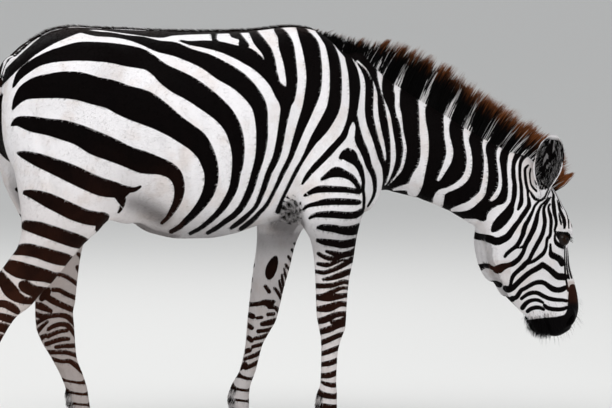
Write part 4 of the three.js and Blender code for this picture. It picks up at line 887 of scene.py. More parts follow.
# Where the neck's black ground starts and ends: height b, least a, greatest a.
NECK_GROUND = stations([
    (66, 122, 138), (69.4, 120, 146), (69.8, 120, 153), (72, 119.5, 153.6), (73.5, 119.6, 154.8),
    (74.7, 119.8, 156.8), (75.6, 119.9, 159), (77, 120, 159.8), (80, 120.2, 160.1), (83, 120.6, 160),
    (86, 120.4, 159.8), (90, 119, 160.1), (95, 117.5, 163), (98, 116.4, 165.5), (101, 115.4, 168),
    (105, 114.9, 172), (112, 115.1, 176), (115, 114.7, 178), (118, 113.4, 180), (121, 111.2, 182),
    (125, 106.5, 184), (130, 101, 186)])
FACE = [
    [167, 97, 3, 164.6, 93, 2.4, 162.6, 90, 1.6, 161.8, 87.5, 1.2, 161.8, 84, 1.35, 162.1, 82, 1.3,
     162.1, 80, 1.5, 162, 78, 1.5, 161.6, 76, 1.4, 161.1, 74.8, 1.8, 160.4, 73, 2.8, 158.9, 71, 3.4,
     157.6, 69.6, 3.4, 156.3, 68.1, 2.8, 155.3, 67, 1.2],
    [167, 92, 2, 165, 90.2, 1.4, 163.9, 88, 1, 163.8, 84, 0.85, 164.2, 81, 1, 164.3, 78, 1.1, 164.2, 76, 1.35,
     163.8, 74.8, 1.2, 163.2, 73.6, 0.7],
    [166.4, 87.5, 0.5, 165.5, 86.5, 0.8, 165.4, 85, 0.8, 165.7, 82, 0.9, 166.2, 80, 0.8, 166.3, 78, 0.65,
     166.5, 77, 0.9, 166.7, 75, 1.3, 166.2, 74, 1.4, 165.6, 73, 1.45, 164.9, 72, 1.5, 164.2, 71, 1.45,
     163.6, 70, 1.4, 162.8, 69, 1.5, 162.1, 68, 1.6, 161.4, 67, 1.7, 160.7, 66, 1.9, 159.9, 65, 2.1,
     158.4, 64.1, 2.2, 156.5, 63.5, 2.4, 154.5, 64.2, 2.4, 152.5, 64.7, 2.1, 150.8, 65, 2, 149, 65.6, 2],
    [167.2, 86.5, 0.4, 166.9, 85, 0.5, 167, 83, 0.4, 167.3, 81.5, 0.5, 168, 80.4, 0.6, 169.1, 79.3, 0.6],
    [166.7, 79.7, 0.3, 167.3, 78.8, 0.6, 168, 77.6, 0.9, 168.8, 76.8, 0.9, 169.6, 76.7, 0.6, 170.4, 76.5, 0.7,
     171.3, 77.1, 0.7, 172, 77.8, 0.8, 172.5, 78.8, 1, 173.1, 80, 0.6],
    [170.1, 76.3, 0.4, 169.1, 75.5, 0.7, 168.4, 74.6, 0.75, 167.9, 73.3, 0.8, 167.3, 72, 1, 166.8, 71, 1.1,
     166.3, 70, 1.25, 165.7, 69, 1.35, 165.3, 68, 1.45, 165, 67, 1.45, 164.8, 66, 1.45, 164.3, 64.8, 1.3,
     163.6, 63.4, 1.3, 162.9, 62.3, 1.3, 162, 61.5, 1.2, 160.8, 60.6, 1.1, 159.8, 59.7, 1.1,
     159.1, 58.8, 0.9],
    [162.8, 61.6, 0.6, 164, 61.6, 0.6, 165, 62.1, 0.9],
    [172.7, 77.3, 0.4, 172, 76.4, 0.45, 171.2, 75.6, 0.5, 170.5, 74.9, 0.7, 170, 74, 0.8, 169.6, 73, 0.9,
     169.3, 72, 1.1, 169.1, 71, 1.3, 168.9, 70, 1.45, 168.6, 69, 1.55, 168.3, 68, 1.6, 167.9, 67, 1.6,
     167.4, 66, 1.5, 166.9, 65, 1.5, 166.4, 64, 1.5, 165.9, 63.2, 1.4, 165.5, 62.3, 1.4, 165.2, 61.3, 1.2,
     164.9, 60.3, 1.2, 164.3, 59.2, 1.3, 163.5, 58.1, 1.4, 162.5, 57.2, 1.5, 161.3, 56.4, 1.5, 160, 56, 1.4,
     158.5, 55.5, 2, 156.9, 54.7, 2.5, 155.7, 54.9, 0.8],
    [149, 54.8, 2, 150.2, 55, 2, 151.3, 55.3, 1.9, 152.6, 55.8, 1.4, 154, 55.7, 1.3, 155.4, 55, 1],
    [173.5, 77.5, 0.4, 172.8, 76.5, 0.5, 172.2, 75.6, 0.7, 171.6, 74.7, 0.8, 171.3, 73.5, 0.9, 171.4, 72, 1.1,
     171.6, 70.5, 1.2, 171.6, 69, 1.2, 171.4, 68, 1.2, 171.2, 67, 1.2, 170.9, 66, 1.3, 170.5, 65, 1.3,
     170, 64, 1.3, 169.4, 63, 1.3, 168.9, 62, 1.3, 168.3, 61, 1.3, 167.8, 60, 1.2, 167.3, 59, 1.2,
     166.8, 58, 1.1, 166.2, 57.2, 1.2, 165.5, 56.5, 1.4, 164.7, 55.6, 1.4, 163.8, 54.8, 1.2, 162.8, 53.9, 1.1,
     162, 53.1, 1.1, 161.4, 52.1, 1, 161.1, 51, 0.9, 160.9, 50, 0.8, 160.7, 49.3, 0.8],
    [173.3, 75.3, 0.5, 172.8, 74.5, 0.6, 172.9, 73.3, 0.8, 173.3, 72, 1, 173.6, 70.5, 1, 173.6, 69, 1,
     173.5, 67.5, 0.9, 173.4, 66, 0.9, 173, 65, 1, 172.4, 64.3, 0.9, 172.2, 63, 0.8, 172.1, 62, 0.9,
     171.8, 61, 1, 171.3, 60, 1.2, 170.6, 59.2, 1.2, 169.6, 58.4, 1.1, 168.5, 57.6, 1, 167.3, 57, 0.9,
     166.2, 56.6, 0.9],
    [173.9, 79.8, 0.6, 174.4, 78.4, 0.7, 174.3, 76.8, 0.9, 174.4, 75, 1.2, 174.6, 73, 1.2, 174.9, 71.5, 1,
     175.2, 70, 0.9, 175.2, 68.8, 0.85, 174.9, 67.7, 0.7, 174.7, 66.6, 0.6],
    [176.05, 72.4, 0.2, 176.2, 71.5, 0.4, 176.45, 70.5, 0.55, 176.7, 69.5, 0.55, 176.8, 68.8, 0.3],
    [175, 79.4, 0.4, 175.6, 77.5, 0.5, 175.8, 76, 0.6, 176.1, 74.5, 0.7, 176.5, 73.2, 0.85, 177, 72, 0.95,
     177.5, 70.9, 1.05, 177.8, 69.8, 1.05, 177.9, 68.7, 0.9, 177.8, 67.7, 0.6],
    [176.2, 78, 0.35, 176.9, 76.5, 0.5, 177.9, 74.4, 0.6, 178.7, 72.2, 0.5, 179, 70.6, 0.4, 179.1, 69.4, 0.35,
     179.2, 67.7, 0.35],
    [179.4, 71.6, 0.25, 179.9, 70, 0.3, 180.2, 68.2, 0.25],
    [173.4, 60.6, 0.9, 173.4, 62.6, 0.6, 173.4, 60.5, 0.9, 173.9, 59.3, 1.9, 175.2, 58.6, 1.8, 176.5, 57.8, 2,
     177, 56.4, 1.4],
    [170.9, 56.5, 1.1, 170.2, 55.7, 1.6, 169, 54.9, 1.5, 167.5, 54.1, 1.4, 166.2, 53.2, 1.4, 164.8, 52, 1.4,
     163.5, 50.8, 1.4, 162.3, 49.6, 1.5, 161.2, 48.8, 1.8, 160.1, 48.4, 1.9, 159.2, 48.8, 1.4],
    [170.8, 56.4, 1, 171.4, 55.9, 1.6, 172.3, 55.3, 1.5, 173.5, 54.4, 1.6, 174.7, 53.3, 1.7, 175.8, 52.5, 1.9,
     177, 52.4, 2, 178, 52.3, 1.8],
    [153, 50.4, 1.2, 154.4, 50.3, 1.3, 156, 50.3, 1.5, 157.4, 49.8, 1.5],
    [158.2, 46, 1, 160, 45.3, 1.3, 161.5, 45.2, 1.2],
    [161.3, 45.6, 1.2, 162.5, 45.8, 1.2, 163.3, 46.8, 1.2, 164.2, 48.1, 1.1, 165.5, 48.8, 1, 167, 49.7, 1.1,
     168.7, 50.5, 1.2, 170.3, 50.7, 1.3, 171.7, 50.3, 1.2, 173, 49.3, 1.4, 174.3, 48.5, 1.6, 175.8, 48.2, 1.5,
     177, 48.4, 1.5, 178, 48.9, 1.3],
    [164.3, 45.5, 0.8, 165.3, 46.3, 0.9, 166.5, 47, 1.1, 168, 47.4, 1.1, 169.5, 47.2, 1.1, 171, 46.4, 1.1,
     172.5, 45.7, 1.1, 174, 45.3, 1.1, 175.7, 45.1, 1, 177.3, 45, 0.9, 178.5, 44.8, 0.8],
    [164.6, 42.6, 1.3, 165.7, 44, 1.2, 167, 44.8, 1, 168.5, 45.1, 0.9, 169.8, 44.9, 0.9, 171, 44.3, 0.6],
    [171.5, 43.4, 0.8, 172.5, 42.6, 1.1, 174, 42.2, 1.1, 176, 42.1, 1.1, 177.6, 42.3, 1, 178.5, 42.7, 0.8],
    [166.2, 41.5, 1, 167.3, 42.3, 1.1, 168.8, 42.7, 1.1, 170.2, 42.6, 1, 171.3, 42, 0.6],
    [176, 66.2, 1.1, 175.3, 65.8, 1.2, 174.9, 65, 0.9, 174.9, 64, 0.9, 175.3, 63, 1.1, 176.3, 62.3, 1.4,
     177.3, 61.8, 1.2],
    [176.6, 65.8, 1, 176.2, 64.8, 1, 176.9, 63.6, 1],
    [178, 62, 0.3, 177.9, 58, 0.3, 178.1, 53, 0.35, 178.6, 50, 0.4, 179, 48, 0.5],
    [178.6, 61.5, 0.2, 178.5, 57, 0.22, 178.8, 54, 0.25, 179.3, 51.8, 0.3],
    [179.1, 61, 0.2, 179, 57.5, 0.22, 179.4, 54.5, 0.25, 180.1, 52, 0.3],
    [180, 55.4, 0.2, 180.7, 52.6, 0.25],
]
# The pale crescent at the corner of the eye and the pale brow over it.
AROUND_EYE_WHITE = [
    [175.2, 65.2, 0.12, 175.35, 64.5, 0.34, 175.8, 63.8, 0.4, 176.2, 63.4, 0.15],
    [176.2, 67, 0.6, 178, 67, 0.9, 180.4, 66.9, 0.8],
]
MUZZLE = [
    [163, 33, 9, 168, 34.5, 9, 173, 36.3, 6.6, 176, 36.8, 6.2, 179.4, 38.6, 5, 180.6, 42, 3.9, 180.8, 46, 3.7,
     180.4, 49, 2.2],
]


# Chart places of the jaw's near edge, behind which the throat lies in shade: b, a.
JAW_EDGE = stations([
    (43, 162.6), (45, 161), (49, 159), (52.5, 157.4), (55.5, 156.2), (58, 155.6), (61, 155.3), (64.5, 153.4)])
# Height below which plain rings close each lower leg.
RING_TOPS = {"front_right": 205, "front_left": 225, "hind_right": 318, "hind_left": 215}


def run_on(path, beyond=1.8):
    """A foreleg bar carried on round the front edge of the leg."""
    a0, b0, _, a1, b1, width = path[-6:] if len(path) > 3 else path + path
    ends_at_front = b1 < 60 and a1 > 105.5 and a1 > a0
    if not ends_at_front:
        return path
    return path + [a1 + beyond, b1 + beyond * (b1 - b0) / (a1 - a0) * 0.6, width * 0.8]


SHOULDER = [run_on(path) for path in SHOULDER]


def lower_leg_rings(p):
    """Plain rings and dark feet, where grass hides the legs in the photograph."""
    stripe = np.full(len(p), OUTSIDE)
    x, y, z = p.T
    for name, top in RING_TOPS.items():
        sign, curve = LEG_CURVES[name]
        front, back, side, half = curve(z).T
        q, r = (x - (front + back) / 2) / ((front - back) / 2), (y - side * sign) / half
        inner = ramp(-r * sign, 0.1, 0.9)
        if name == "hind_left":
            top = np.where(r > 0.25, 325, top)
        own = (y * sign > 0) & (z < top + 8) & (x < front + 30) & (x > back - 30)
        phase = (z + 5 * q + 4 * np.sin(r * 2 + z / 40)) / 33 * 2 * math.pi
        ring = 0.62 * np.cos(phase) + 0.05 - 0.45 * inner - 0.7 * ramp(z, top - 12, top + 8)
        dark_foot = 0.5 - 1.4 * ramp(z, 74, 96)
        stripe = np.where(own, np.maximum(ring, dark_foot), stripe)
    return stripe


class Places:
    """Places in the body plan with every coordinate that the markings are drawn in."""

    def __init__(self, p):
        self.own_a, self.own_b = side_chart(p)
        self.right, self.inner, self.off = on_right_side(p)
        self.x, self.z = self.right[:, 0], self.right[:, 2]
        self.a, self.b = side_chart(self.right)
        self.along, self.rise = head_frame(self.right)[:2]
        self.head = self.x > HEAD_X
        self.far_leg = (p[:, 1] > 0) & (p[:, 2] < 660) & (p[:, 0] < LEGS_X) & (self.inner > 0.02)
        self.far_foreleg = self.far_leg & (p[:, 0] > 700)


def photographed_bars(s):
    """The black of the body, face and neck, which ends on the inner sides of the legs."""
    a, b = s.a, s.b
    wider = 0.4 * (1 - ramp(a, 30, 36)) * (1 - ramp(b, 56, 96))
    wider += 0.17 * ramp(a, 94, 98) * (1 - ramp(b, 45, 50))
    wider += 0.08 * ramp(a, 94, 98) * (1 - ramp(b, 70, 96))
    dark = strokes_field(a, b, HAUNCH + BARREL + SHOULDER) + 0.06 + wider
    face = strokes_field(a, b, FACE) + 0.15 - 0.08 * ramp(b, 54, 60)
    least, greatest = NECK_GROUND(b).T
    lower_edge = 70.6 - 3 * (a < 145) - 0.9 * np.exp(-((a - 152) / 1.3) ** 2)
    ground = np.minimum(np.minimum(a - least, greatest - a), np.minimum(b - lower_edge, 3))
    ground = np.clip(np.where(b > 64, ground, OUTSIDE), OUTSIDE, 3)
    neck = np.minimum(ground, 0.17 - strokes_field(a, b, NECK_WHITE))
    stripe = np.maximum(np.maximum(dark, neck), face)
    return stripe - (0.5 + 2.2 * ramp(s.z, 380, 470)) * ramp(s.inner, 0.12, 0.8)


def back_and_cleft(s, stripe):
    """The dorsal stripe with broken white lines beside it, and the black cleft between the buttocks, partly
    its bare black skin and partly painted shade of the crease.
    """
    x, z, off = s.x, s.z, s.off
    spine = np.where(z > 1180, (20 + 8 * ramp(x, 100, 300) - off) / 10, OUTSIDE)
    stripe = np.maximum(stripe, np.where((x > -40) & (x < 1010), spine, OUTSIDE))
    # The cleft is painted black: partly bare black skin, partly painted shade between the buttocks.
    cleft_reach = 46 + 40 * ramp(z, 890, 950)
    cleft = np.minimum(np.minimum((cleft_reach - off) / 10, (1120 - z) / 10),
                       np.minimum((z - 800 - 1.1 * off) / 10, (95 - x) / 10))
    stripe = np.maximum(stripe, cleft)
    near_edge = 7 + 2 * np.sin(x / 47)
    breadth = 15 + 10 * (1 - ramp(x, -20, 240)) - 22 * ramp(x, 480, 620) + 4 * np.sin(x / 31)
    bridge = 1.4 * ramp(np.cos(2 * math.pi * (z + 0.5 * x) / 62), 0.7, 0.95)
    beside = np.minimum(off - near_edge, near_edge + breadth - off) / 10 - bridge
    return np.where((x > -70) & (z > 1120) & (off < 60), np.minimum(stripe, -2.2 * beside), stripe)


def front_of_face(s):
    """Fine lengthwise bars that draw together towards nose and poll, and their share at each place."""
    length = np.clip((s.along - 30) / 370, 0, 1)
    narrow = np.abs(s.off) / (0.5 + 0.5 * np.sin(math.pi * length))
    bars = 0.42 * np.cos(2 * math.pi * narrow / FRONT_SPACING + 0.5 * np.sin(s.along / 37)) + 0.02
    half = FOREHEAD_FRONT + (FACE_FRONT - FOREHEAD_FRONT) * ramp(s.along, 150, 230)
    share = (1 - ramp(s.off, half - 1.5, half + 1.5)) * s.head * (s.z < 1000) * (s.rise > -10)
    return bars, share * ramp(s.along, 45, 75)


def far_leg_bars(s, stripe):
    """The bars and the chestnut that the photograph shows on the inner faces of the left legs."""
    upper_foreleg = (s.own_a > 86.4) & (s.own_b > 45)
    bars = strokes_field(s.own_a, s.own_b, LEFT_LEGS) + 0.22 - 0.2 * upper_foreleg
    stripe = np.where(s.far_leg, np.maximum(np.where(s.inner < 0.15, stripe, OUTSIDE), bars), stripe)
    chestnut = strokes_field(s.own_a, s.own_b, CHESTNUT)
    return np.where(s.far_foreleg, np.maximum(stripe, chestnut), stripe)


def armpit_streaks(s):
    """Dark streaks that fan out from the elbow, and the shade that the armpit lies in."""
    armpit = 1 - np.hypot((s.own_a - 91.6) / 5.6, (s.own_b - 73.2) / 6.2)
    ahead, above = 99.5 - s.own_a, s.own_b - 67.5
    fan, reach = np.arctan2(above, ahead), np.hypot(above, ahead)
    weave = np.sin(44 * fan + 1.5 * np.sin(1.1 * reach) + 1.3 * np.sin(9 * fan + 1.9 * reach))
    weave += 0.55 * np.sin(2.1 * reach + 13 * fan)
    behind_elbow = (s.x < 1080) & (s.off > 40) & (s.z > 600)
    streaks = np.where(behind_elbow, np.minimum(armpit, 0.42) * 1.5 + 0.28 * weave - 0.66, OUTSIDE)
    return streaks, np.clip(armpit, 0, 1) ** 1.5 * behind_elbow


def foot_of_ear(s):
    """Where the cup of the ear runs into the head (above 0), and the dark strands there."""
    cup = 1 - np.hypot((s.a - 170.9) / 2.4, (s.b - 82.4) / 2.7)
    cup = np.where(s.head & (s.off > 30), np.minimum(cup, (s.b - 79.9) / 2), -1)
    strand = np.sin(7 * s.a + 2.2 * np.sin(1.9 * s.b)) + 0.5 * np.sin(4.1 * s.b + 3 * s.a)
    return cup, 0.25 - 0.4 * strand


def eye_rim(s):
    """The bare dark rim of the eye."""
    g, d, out = opening(s.right, EYE_AT, -1, EYE_AXES, EYE_HALF_LONG, EYE_HALF_TALL)[:3]
    return np.where((np.linalg.norm(d, axis=1) < 60) & (d @ out > -25), (2.2 - g) * 0.9, OUTSIDE)


def warmth(s, nose):
    """How brown the black is and how tan the white is: most on the nose and the hind legs."""
    low = 1 - ramp(s.b, 55, 100)
    hind = s.x < 560
    warm = 0.02 + 0.5 * low * hind + 0.5 * (1 - ramp(s.z, 420, 700)) * (s.x < 1250)
    warm += 0.2 * ramp(s.z, 1285, 1320)
    warm += 0.3 * s.far_leg * hind
    on_cheek = ramp(s.b, 52, 54) * (1 - ramp(s.b, 57, 58)) * (s.a < 161) * (s.a > 154)
    return warm + 1.1 * nose * (1 - ramp(s.b, 50.5, 51.5)) + 0.5 * on_cheek


def shade_and_grey_share(s, armpit, cup):
    """Painted shade: how grey the white is where it lies in the animal's own shade, together with the real
    grey of the inner thighs.
    """
    x, z, a, b = s.x, s.z, s.a, s.b
    # Painted shade under the belly, in the flank hollow and behind the jaw; between the thighs it is painted
    # shade together with their real grey.
    under = (1 - ramp(z, 655, 790)) * ramp(x, 300, 500) * (1 - ramp(x, 1150, 1250)) * ramp(z, 560, 640)
    thigh = (1 - ramp(s.off, 60, 120)) * (1 - ramp(z, 760, 900)) * ramp(z, 520, 640) * (x > 60) * (x < 560)
    hollow = groove(a, b, [(42, 75.5), (46, 74), (51, 71)], 3.6) * (z > 640) * (x < 560) * (s.off > 60)
    behind_jaw = JAW_EDGE(b)[:, 0] - a
    jaw = (behind_jaw > 0) * (0.4 + 0.85 * (1 - ramp(behind_jaw, 0, 3.6))) * (b < 65) * (b > 43) * s.head
    under = np.maximum(under, 1.7 * hollow) + jaw
    # Painted shade in the armpit and along the lower belly.
    foreleg_side = ramp(s.own_a, 83, 89) * (1 - ramp(s.own_a, 94.5, 97)) * (x < 1080)
    pit = np.exp(-((s.own_b - 68.7) / 2.1) ** 2) * foreleg_side
    belly = (1 - ramp(b, 62, 80)) * ramp(a, 36, 44) * (1 - ramp(a, 94, 98)) * (z > 600)
    # Painted shade towards the forehand, in the armpit and on the far legs; only greyer low on the legs and
    # at the ear's foot.
    shade_and_grey = 0.03 + 0.15 * ramp(x, 960, 1130) + 0.5 * under + 0.9 * thigh
    shade_and_grey += 0.1 * (1 - ramp(z, 150, 500)) * (x < 1250) + 0.95 * pit + 0.9 * armpit + 0.22 * belly
    return shade_and_grey + 0.2 * s.far_leg + 0.12 * s.far_leg * (x < 560) + 0.95 * (cup > 0)


def paint(p):
    """Markings at places in the body plan: stripe in cm inside black, then warm, painted shade with the inner
    thighs' real grey, and bare shares.
    """
    s = Places(p)
    stripe = back_and_cleft(s, photographed_bars(s))
    bars, on_front = front_of_face(s)
    stripe = stripe * (1 - on_front) + bars * on_front
    streaks, armpit = armpit_streaks(s)
    stripe = np.maximum(np.maximum(far_leg_bars(s, stripe), lower_leg_rings(p)), streaks)
    cup, strands = foot_of_ear(s)
    stripe = np.where(cup > 0, strands, stripe)
    spared = np.where(on_front > 0.4, OUTSIDE, strokes_field(s.a, s.b, AROUND_EYE_WHITE))
    rim = np.minimum(eye_rim(s), np.where(s.head, -spared, 2))
    naked = np.maximum(rim, strokes_field(s.a, s.b, MUZZLE))
    nose = ramp(s.a, 178.2, 179.6) * ramp(s.b, 42.5, 45.5) * s.head
    bare = ramp(naked, -0.05, 0.3) * (1 - nose)
    stripe = np.maximum(stripe, naked)
    stripe = np.where(s.head, np.minimum(stripe, 0.02 - spared), stripe)
    shares = warmth(s, nose), shade_and_grey_share(s, armpit, cup), bare
    return (stripe, *(np.clip(share, 0, 1) for share in shares))


def marking_target(p):
    """Edge length that keeps the borders of the stripes crisp."""
    stripe = np.abs(paint(p)[0]) * 10
    head = (p[:, 0] > HEAD_X) & (p[:, 2] < HEAD_TOP)
    wide = np.full(len(p), 1e3)
    wide[stripe < 5] = 7.5
    wide[head & (stripe < 4)] = 4.6
    return wide


def paint_ear(inside, where):
    """Markings of an ear: stripe, warm, painted shade, bare and shade, on the back and in the cup, whose grey
    is painted shade of its hollow over streaked hair.
    """
    u, share = where.T
    far = np.abs(share)
    streak = np.sin(17 * share + 3 * np.sin(5 * u + 1)) * np.sin(9 * u + 4 * share)
    streak = streak + 0.6 * np.sin(31 * share - 7 * u)
    edge = ramp(far, 0.9, 0.95) * (u > 0.02) + ramp(u, 0.88, 0.94)
    line = 0.5 - np.abs(far - 0.83 + 0.5 * ramp(u, 0.8, 0.95)) * 8
    groin = 0.35 - np.abs(share + 0.1 * np.sin(9 * u)) * 5 - 1.5 * ramp(u, 0.32, 0.5)
    grain = np.sin(47 * share + 21 * u) * np.sin(39 * u - 13 * share)
    cloud = 0.12 - 0.34 * streak - 0.22 * grain - 0.6 * np.exp(-((far - 0.68) / 0.09) ** 2)
    inner = np.maximum(np.maximum(line * (u < 0.93) * (u > 0.03), groin), cloud) - 3 * edge
    back = np.maximum(0.5 - np.abs(u - 0.1) * 12, 2.2 - np.abs(u - 0.62) * 13) - 3.2 * ramp(u, 0.86, 0.93)
    rear_rim = (share > 0.88) * ramp(u, 0.5, 0.55) * (1 - ramp(u, 0.86, 0.9))
    stripe = np.where(inside > 0.5, np.maximum(inner, 2 * rear_rim - 1), back)
    shown = np.minimum(edge, 1)
    # Painted shade: the cup is greyed and darkened in streaks as shade of its hollow, paler at its rim.
    shade_and_grey = np.where(inside > 0.5, 0.86 - 0.76 * shown, 0.1)
    shade = np.where(inside > 0.5, (-0.5 - 0.7 * np.clip(streak, -1, 1)) * (1 - shown) + 0.5 * shown, 0.5)
    return stripe, np.full(len(u), 0.02), shade_and_grey, np.zeros(len(u)), shade


# ---------------------------------------------------------------- one skin
SKIN_BOX = (-150.0, -320.0, 20.0), (1960.0, 320.0, 1380.0)
PART_BODY, PART_EAR, PART_TAIL = range(3)


def body_mesh():
    """Trunk, neck, head and legs as one sculpted mesh, open inside the hooves."""
    points, faces = surface_nets(*SKIN_BOX, SKIN_CELL)
    points = settle(points)
    passes = ((3, edge_target, 2), (2, marking_target, 1))
    for rounds, target, turns in passes:
        for _ in range(rounds):
            points, faces, fresh = refine(points, faces, target)
            points[fresh] = settle(points[fresh], turns)
    below = (points[faces][:, :, 2] < CORONET_HEIGHT - 6).all(1)
    used, faces = np.unique(faces[~below], return_inverse=True)
    points, faces = points[used], faces.reshape(-1, 3)
    normals = point_normals(points, faces)
    outward = (normals * (points - np.array([600.0, 0, 950.0]))).sum(1).mean()
    if outward < 0:
        faces, normals = faces[:, ::-1], -normals
    points = points + normals * relief(points)[:, None]
    head = np.nonzero((points[:, 0] > 1560) & (points[:, 2] < 950))[0]
    points[head] = sculpt_head(points[head], normals[head])
    return points, faces


def whole_skin():
    """Points, faces, part of each point, and its side and place on an ear."""
    tail = ring_tube([tail_ring(place, 24, COAT_DEPTH) for place in np.linspace(0.25, 5.3, 60)])
    pieces = []
    for kind, mesh in ((PART_BODY, body_mesh()), (PART_EAR, ear_mesh(-1)), (PART_EAR, ear_mesh(1)),
                       (PART_TAIL, tail)):
        count = len(mesh[0])
        inner, where = mesh[2:] if kind == PART_EAR else (np.zeros(count), np.zeros((count, 2)))
        start = sum(len(piece[0]) for piece in pieces)
        pieces.append((mesh[0], mesh[1] + start, np.full(count, kind), inner, where))
    return (np.concatenate(column) for column in zip(*pieces))


skin_points, skin_faces, part, ear_inner, ear_where = whole_skin()
skin_normals = point_normals(skin_points, skin_faces)


# ---------------------------------------------------------------- making objects
# Where the shared frame's origin lies in the body plan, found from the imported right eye.
EYE_CENTRE_X = 1000 * sum(corner.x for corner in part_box("eye_right")) / 2
ORIGIN = np.array([head_point(EYE_AT[0], EYE_AT[1], -EYE_AT[2])[0] - EYE_CENTRE_X, 0, 0])


def make_object(name, points, faces, material, fields, uv=None, smooth=True):
    """A mesh object from body-plan millimetres, with one float per point for each named field."""
    mesh = bpy.data.meshes.new(name)
    mesh.vertices.add(len(points))
    mesh.vertices.foreach_set("co", ((points - ORIGIN) / 1000).astype(np.float32).ravel())
    mesh.loops.add(faces.size)
    mesh.loops.foreach_set("vertex_index", faces.astype(np.int32).ravel())
    mesh.polygons.add(len(faces))
    mesh.polygons.foreach_set("loop_start", np.arange(0, faces.size, faces.shape[1], dtype=np.int32))
    mesh.update(calc_edges=True)
    mesh.polygons.foreach_set("use_smooth", np.full(len(faces), smooth))
    for key, value in fields.items():
        mesh.attributes.new(key, "FLOAT", "POINT").data.foreach_set("value", value.astype(np.float32))
    if uv is not None:
        mesh.uv_layers.new(name="OFBake").data.foreach_set("uv", uv.astype(np.float32).ravel())
    mesh.materials.append(material)
    obj = bpy.data.objects.new(name, mesh)
    bpy.context.scene.collection.objects.link(obj)
    return obj


def place_piece(obj, slot, *nodes):
    """Rides the piece on the frame's root and hides the CAD nodes that it replaces; slot is not used."""
    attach(obj, "root")
    if nodes:
        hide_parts(*nodes)
    return obj


class Nodes:
    """Short names for building a material's node tree."""

    def __init__(self, name):
        self.material = bpy.data.materials.new(name)
        self.material.use_nodes = True
        self.tree = self.material.node_tree
        self.tree.nodes.clear()
        self.out = self.tree.nodes.new("ShaderNodeOutputMaterial")
        self.shader = self.tree.nodes.new("ShaderNodeBsdfPrincipled")
        self.tree.links.new(self.shader.outputs[0], self.out.inputs[0])

    def add(self, kind, settings=None, **inputs):
        node = self.tree.nodes.new("ShaderNode" + kind)
        for key, value in (settings or {}).items():
            setattr(node, key, value)
        for key, value in inputs.items():
            self.put(node, key.replace("_", " "), value)
        return node

    def put(self, node, key, value):
        key = int(key[1:]) if key.startswith("i") and key[1:].isdigit() else key
        if hasattr(value, "is_output"):
            self.tree.links.new(value, node.inputs[key])
        else:
            node.inputs[key].default_value = value

    def field(self, name):
        return self.add("Attribute", {"attribute_name": name}).outputs["Fac"]

    def noise(self, scale, detail=2.0, stretch=None):
        where = self.add("TexCoord").outputs["Object"]
        if stretch:
            where = self.add("Mapping", None, Vector=where, Rotation=stretch[0], Scale=stretch[1]).outputs[0]
        return self.add("TexNoise", None, Vector=where, Scale=scale, Detail=detail).outputs[0]

    def math(self, kind, a, b=0.0, clamp=False):
        return self.add("Math", {"operation": kind, "use_clamp": clamp}, i0=a, i1=b).outputs[0]

    def mix(self, share, a, b):
        node = self.add("Mix", {"data_type": "RGBA"})
        for key, value in ((0, share), (6, a), (7, b)):
            if hasattr(value, "is_output"):
                self.tree.links.new(value, node.inputs[key])
            else:
                node.inputs[key].default_value = value
        return node.outputs[2]

    def range(self, value, low, high, to_low=0.0, to_high=1.0):
        node = self.add("MapRange", {"interpolation_type": "SMOOTHSTEP"}, Value=value,
                        From_Min=low, From_Max=high, To_Min=to_low, To_Max=to_high)
        return node.outputs[0]


def rgb(r, g, b):
    return (r, g, b, 1.0)


# The third colour is the dark grey that painted shade greys the white towards.
WHITE_HAIR, CREAM_HAIR, SHADE_AND_GREY_TONE = rgb(0.87, 0.85, 0.865), rgb(0.72, 0.64, 0.6), rgb(0.1, 0.09, 0.09)
TAN_HAIR = rgb(0.52, 0.43, 0.39)
BLACK_HAIR, BROWN_HAIR = rgb(0.0012, 0.0009, 0.001), rgb(0.03, 0.0095, 0.005)
BARE_SKIN = rgb(0.0022, 0.0018, 0.002)


def coat_material(name, edge, bump):
    """White and black hair from the marking fields and the painted shade field, with ragged borders, blotches
    and a little bump.
    """
    n = Nodes(name)
    ragged = n.math("SUBTRACT", n.noise(240, 3), 0.5)
    stripe = n.math("ADD", n.field("stripe"), n.math("MULTIPLY", ragged, edge))
    black = n.range(stripe, -0.07, 0.07)
    blotch = n.noise(14, 3)
    fine = n.noise(620, 2)
    white = n.mix(n.range(blotch, 0.46, 0.72, 0.0, 0.55), WHITE_HAIR, CREAM_HAIR)
    white = n.mix(n.math("MULTIPLY", n.range(fine, 0.4, 0.72), 0.16), white, rgb(0.45, 0.42, 0.42))
    white = n.mix(n.math("MULTIPLY", n.field("warm"), 0.75), white, TAN_HAIR)
    # Painted shade: the white is greyed towards dark grey where the animal's own shade falls.
    white = n.mix(n.math("MULTIPLY", n.field("shade_and_grey"), 0.85), white, SHADE_AND_GREY_TONE)
    warm = n.math("MULTIPLY", n.field("warm"), n.range(blotch, 0.25, 0.7, 0.55, 1.25))
    dark = n.mix(warm, BLACK_HAIR, BROWN_HAIR)
    dark = n.mix(n.math("MULTIPLY", n.range(fine, 0.4, 0.75), 0.16), dark, rgb(0.009, 0.006, 0.006))
    colour = n.mix(black, white, dark)
    colour = n.mix(n.field("bare"), colour, BARE_SKIN)
    shade = n.math("ADD", n.math("MULTIPLY", n.field("shade"), 0.3), 0.85)
    lit = n.add("HueSaturation", None, Value=shade, Color=colour)
    n.put(n.shader, "Base Color", lit.outputs[0])
    rough = n.math("MULTIPLY", n.field("bare"), -0.2)
    n.put(n.shader, "Roughness", n.math("ADD", rough, 0.6))
    n.put(n.shader, "Specular IOR Level", 0.025)
    if bump:
        streaks = n.noise(260, 3, ((0, 0.35, 0), (0.16, 1, 0.8)))
        drops = n.noise(900, 2)
        height = n.mix(n.field("bare"), streaks, drops)
        rise = n.add("Bump", None, Strength=0.5, Distance=bump, Height=height)
        n.put(n.shader, "Normal", rise.outputs[0])
    return n.material


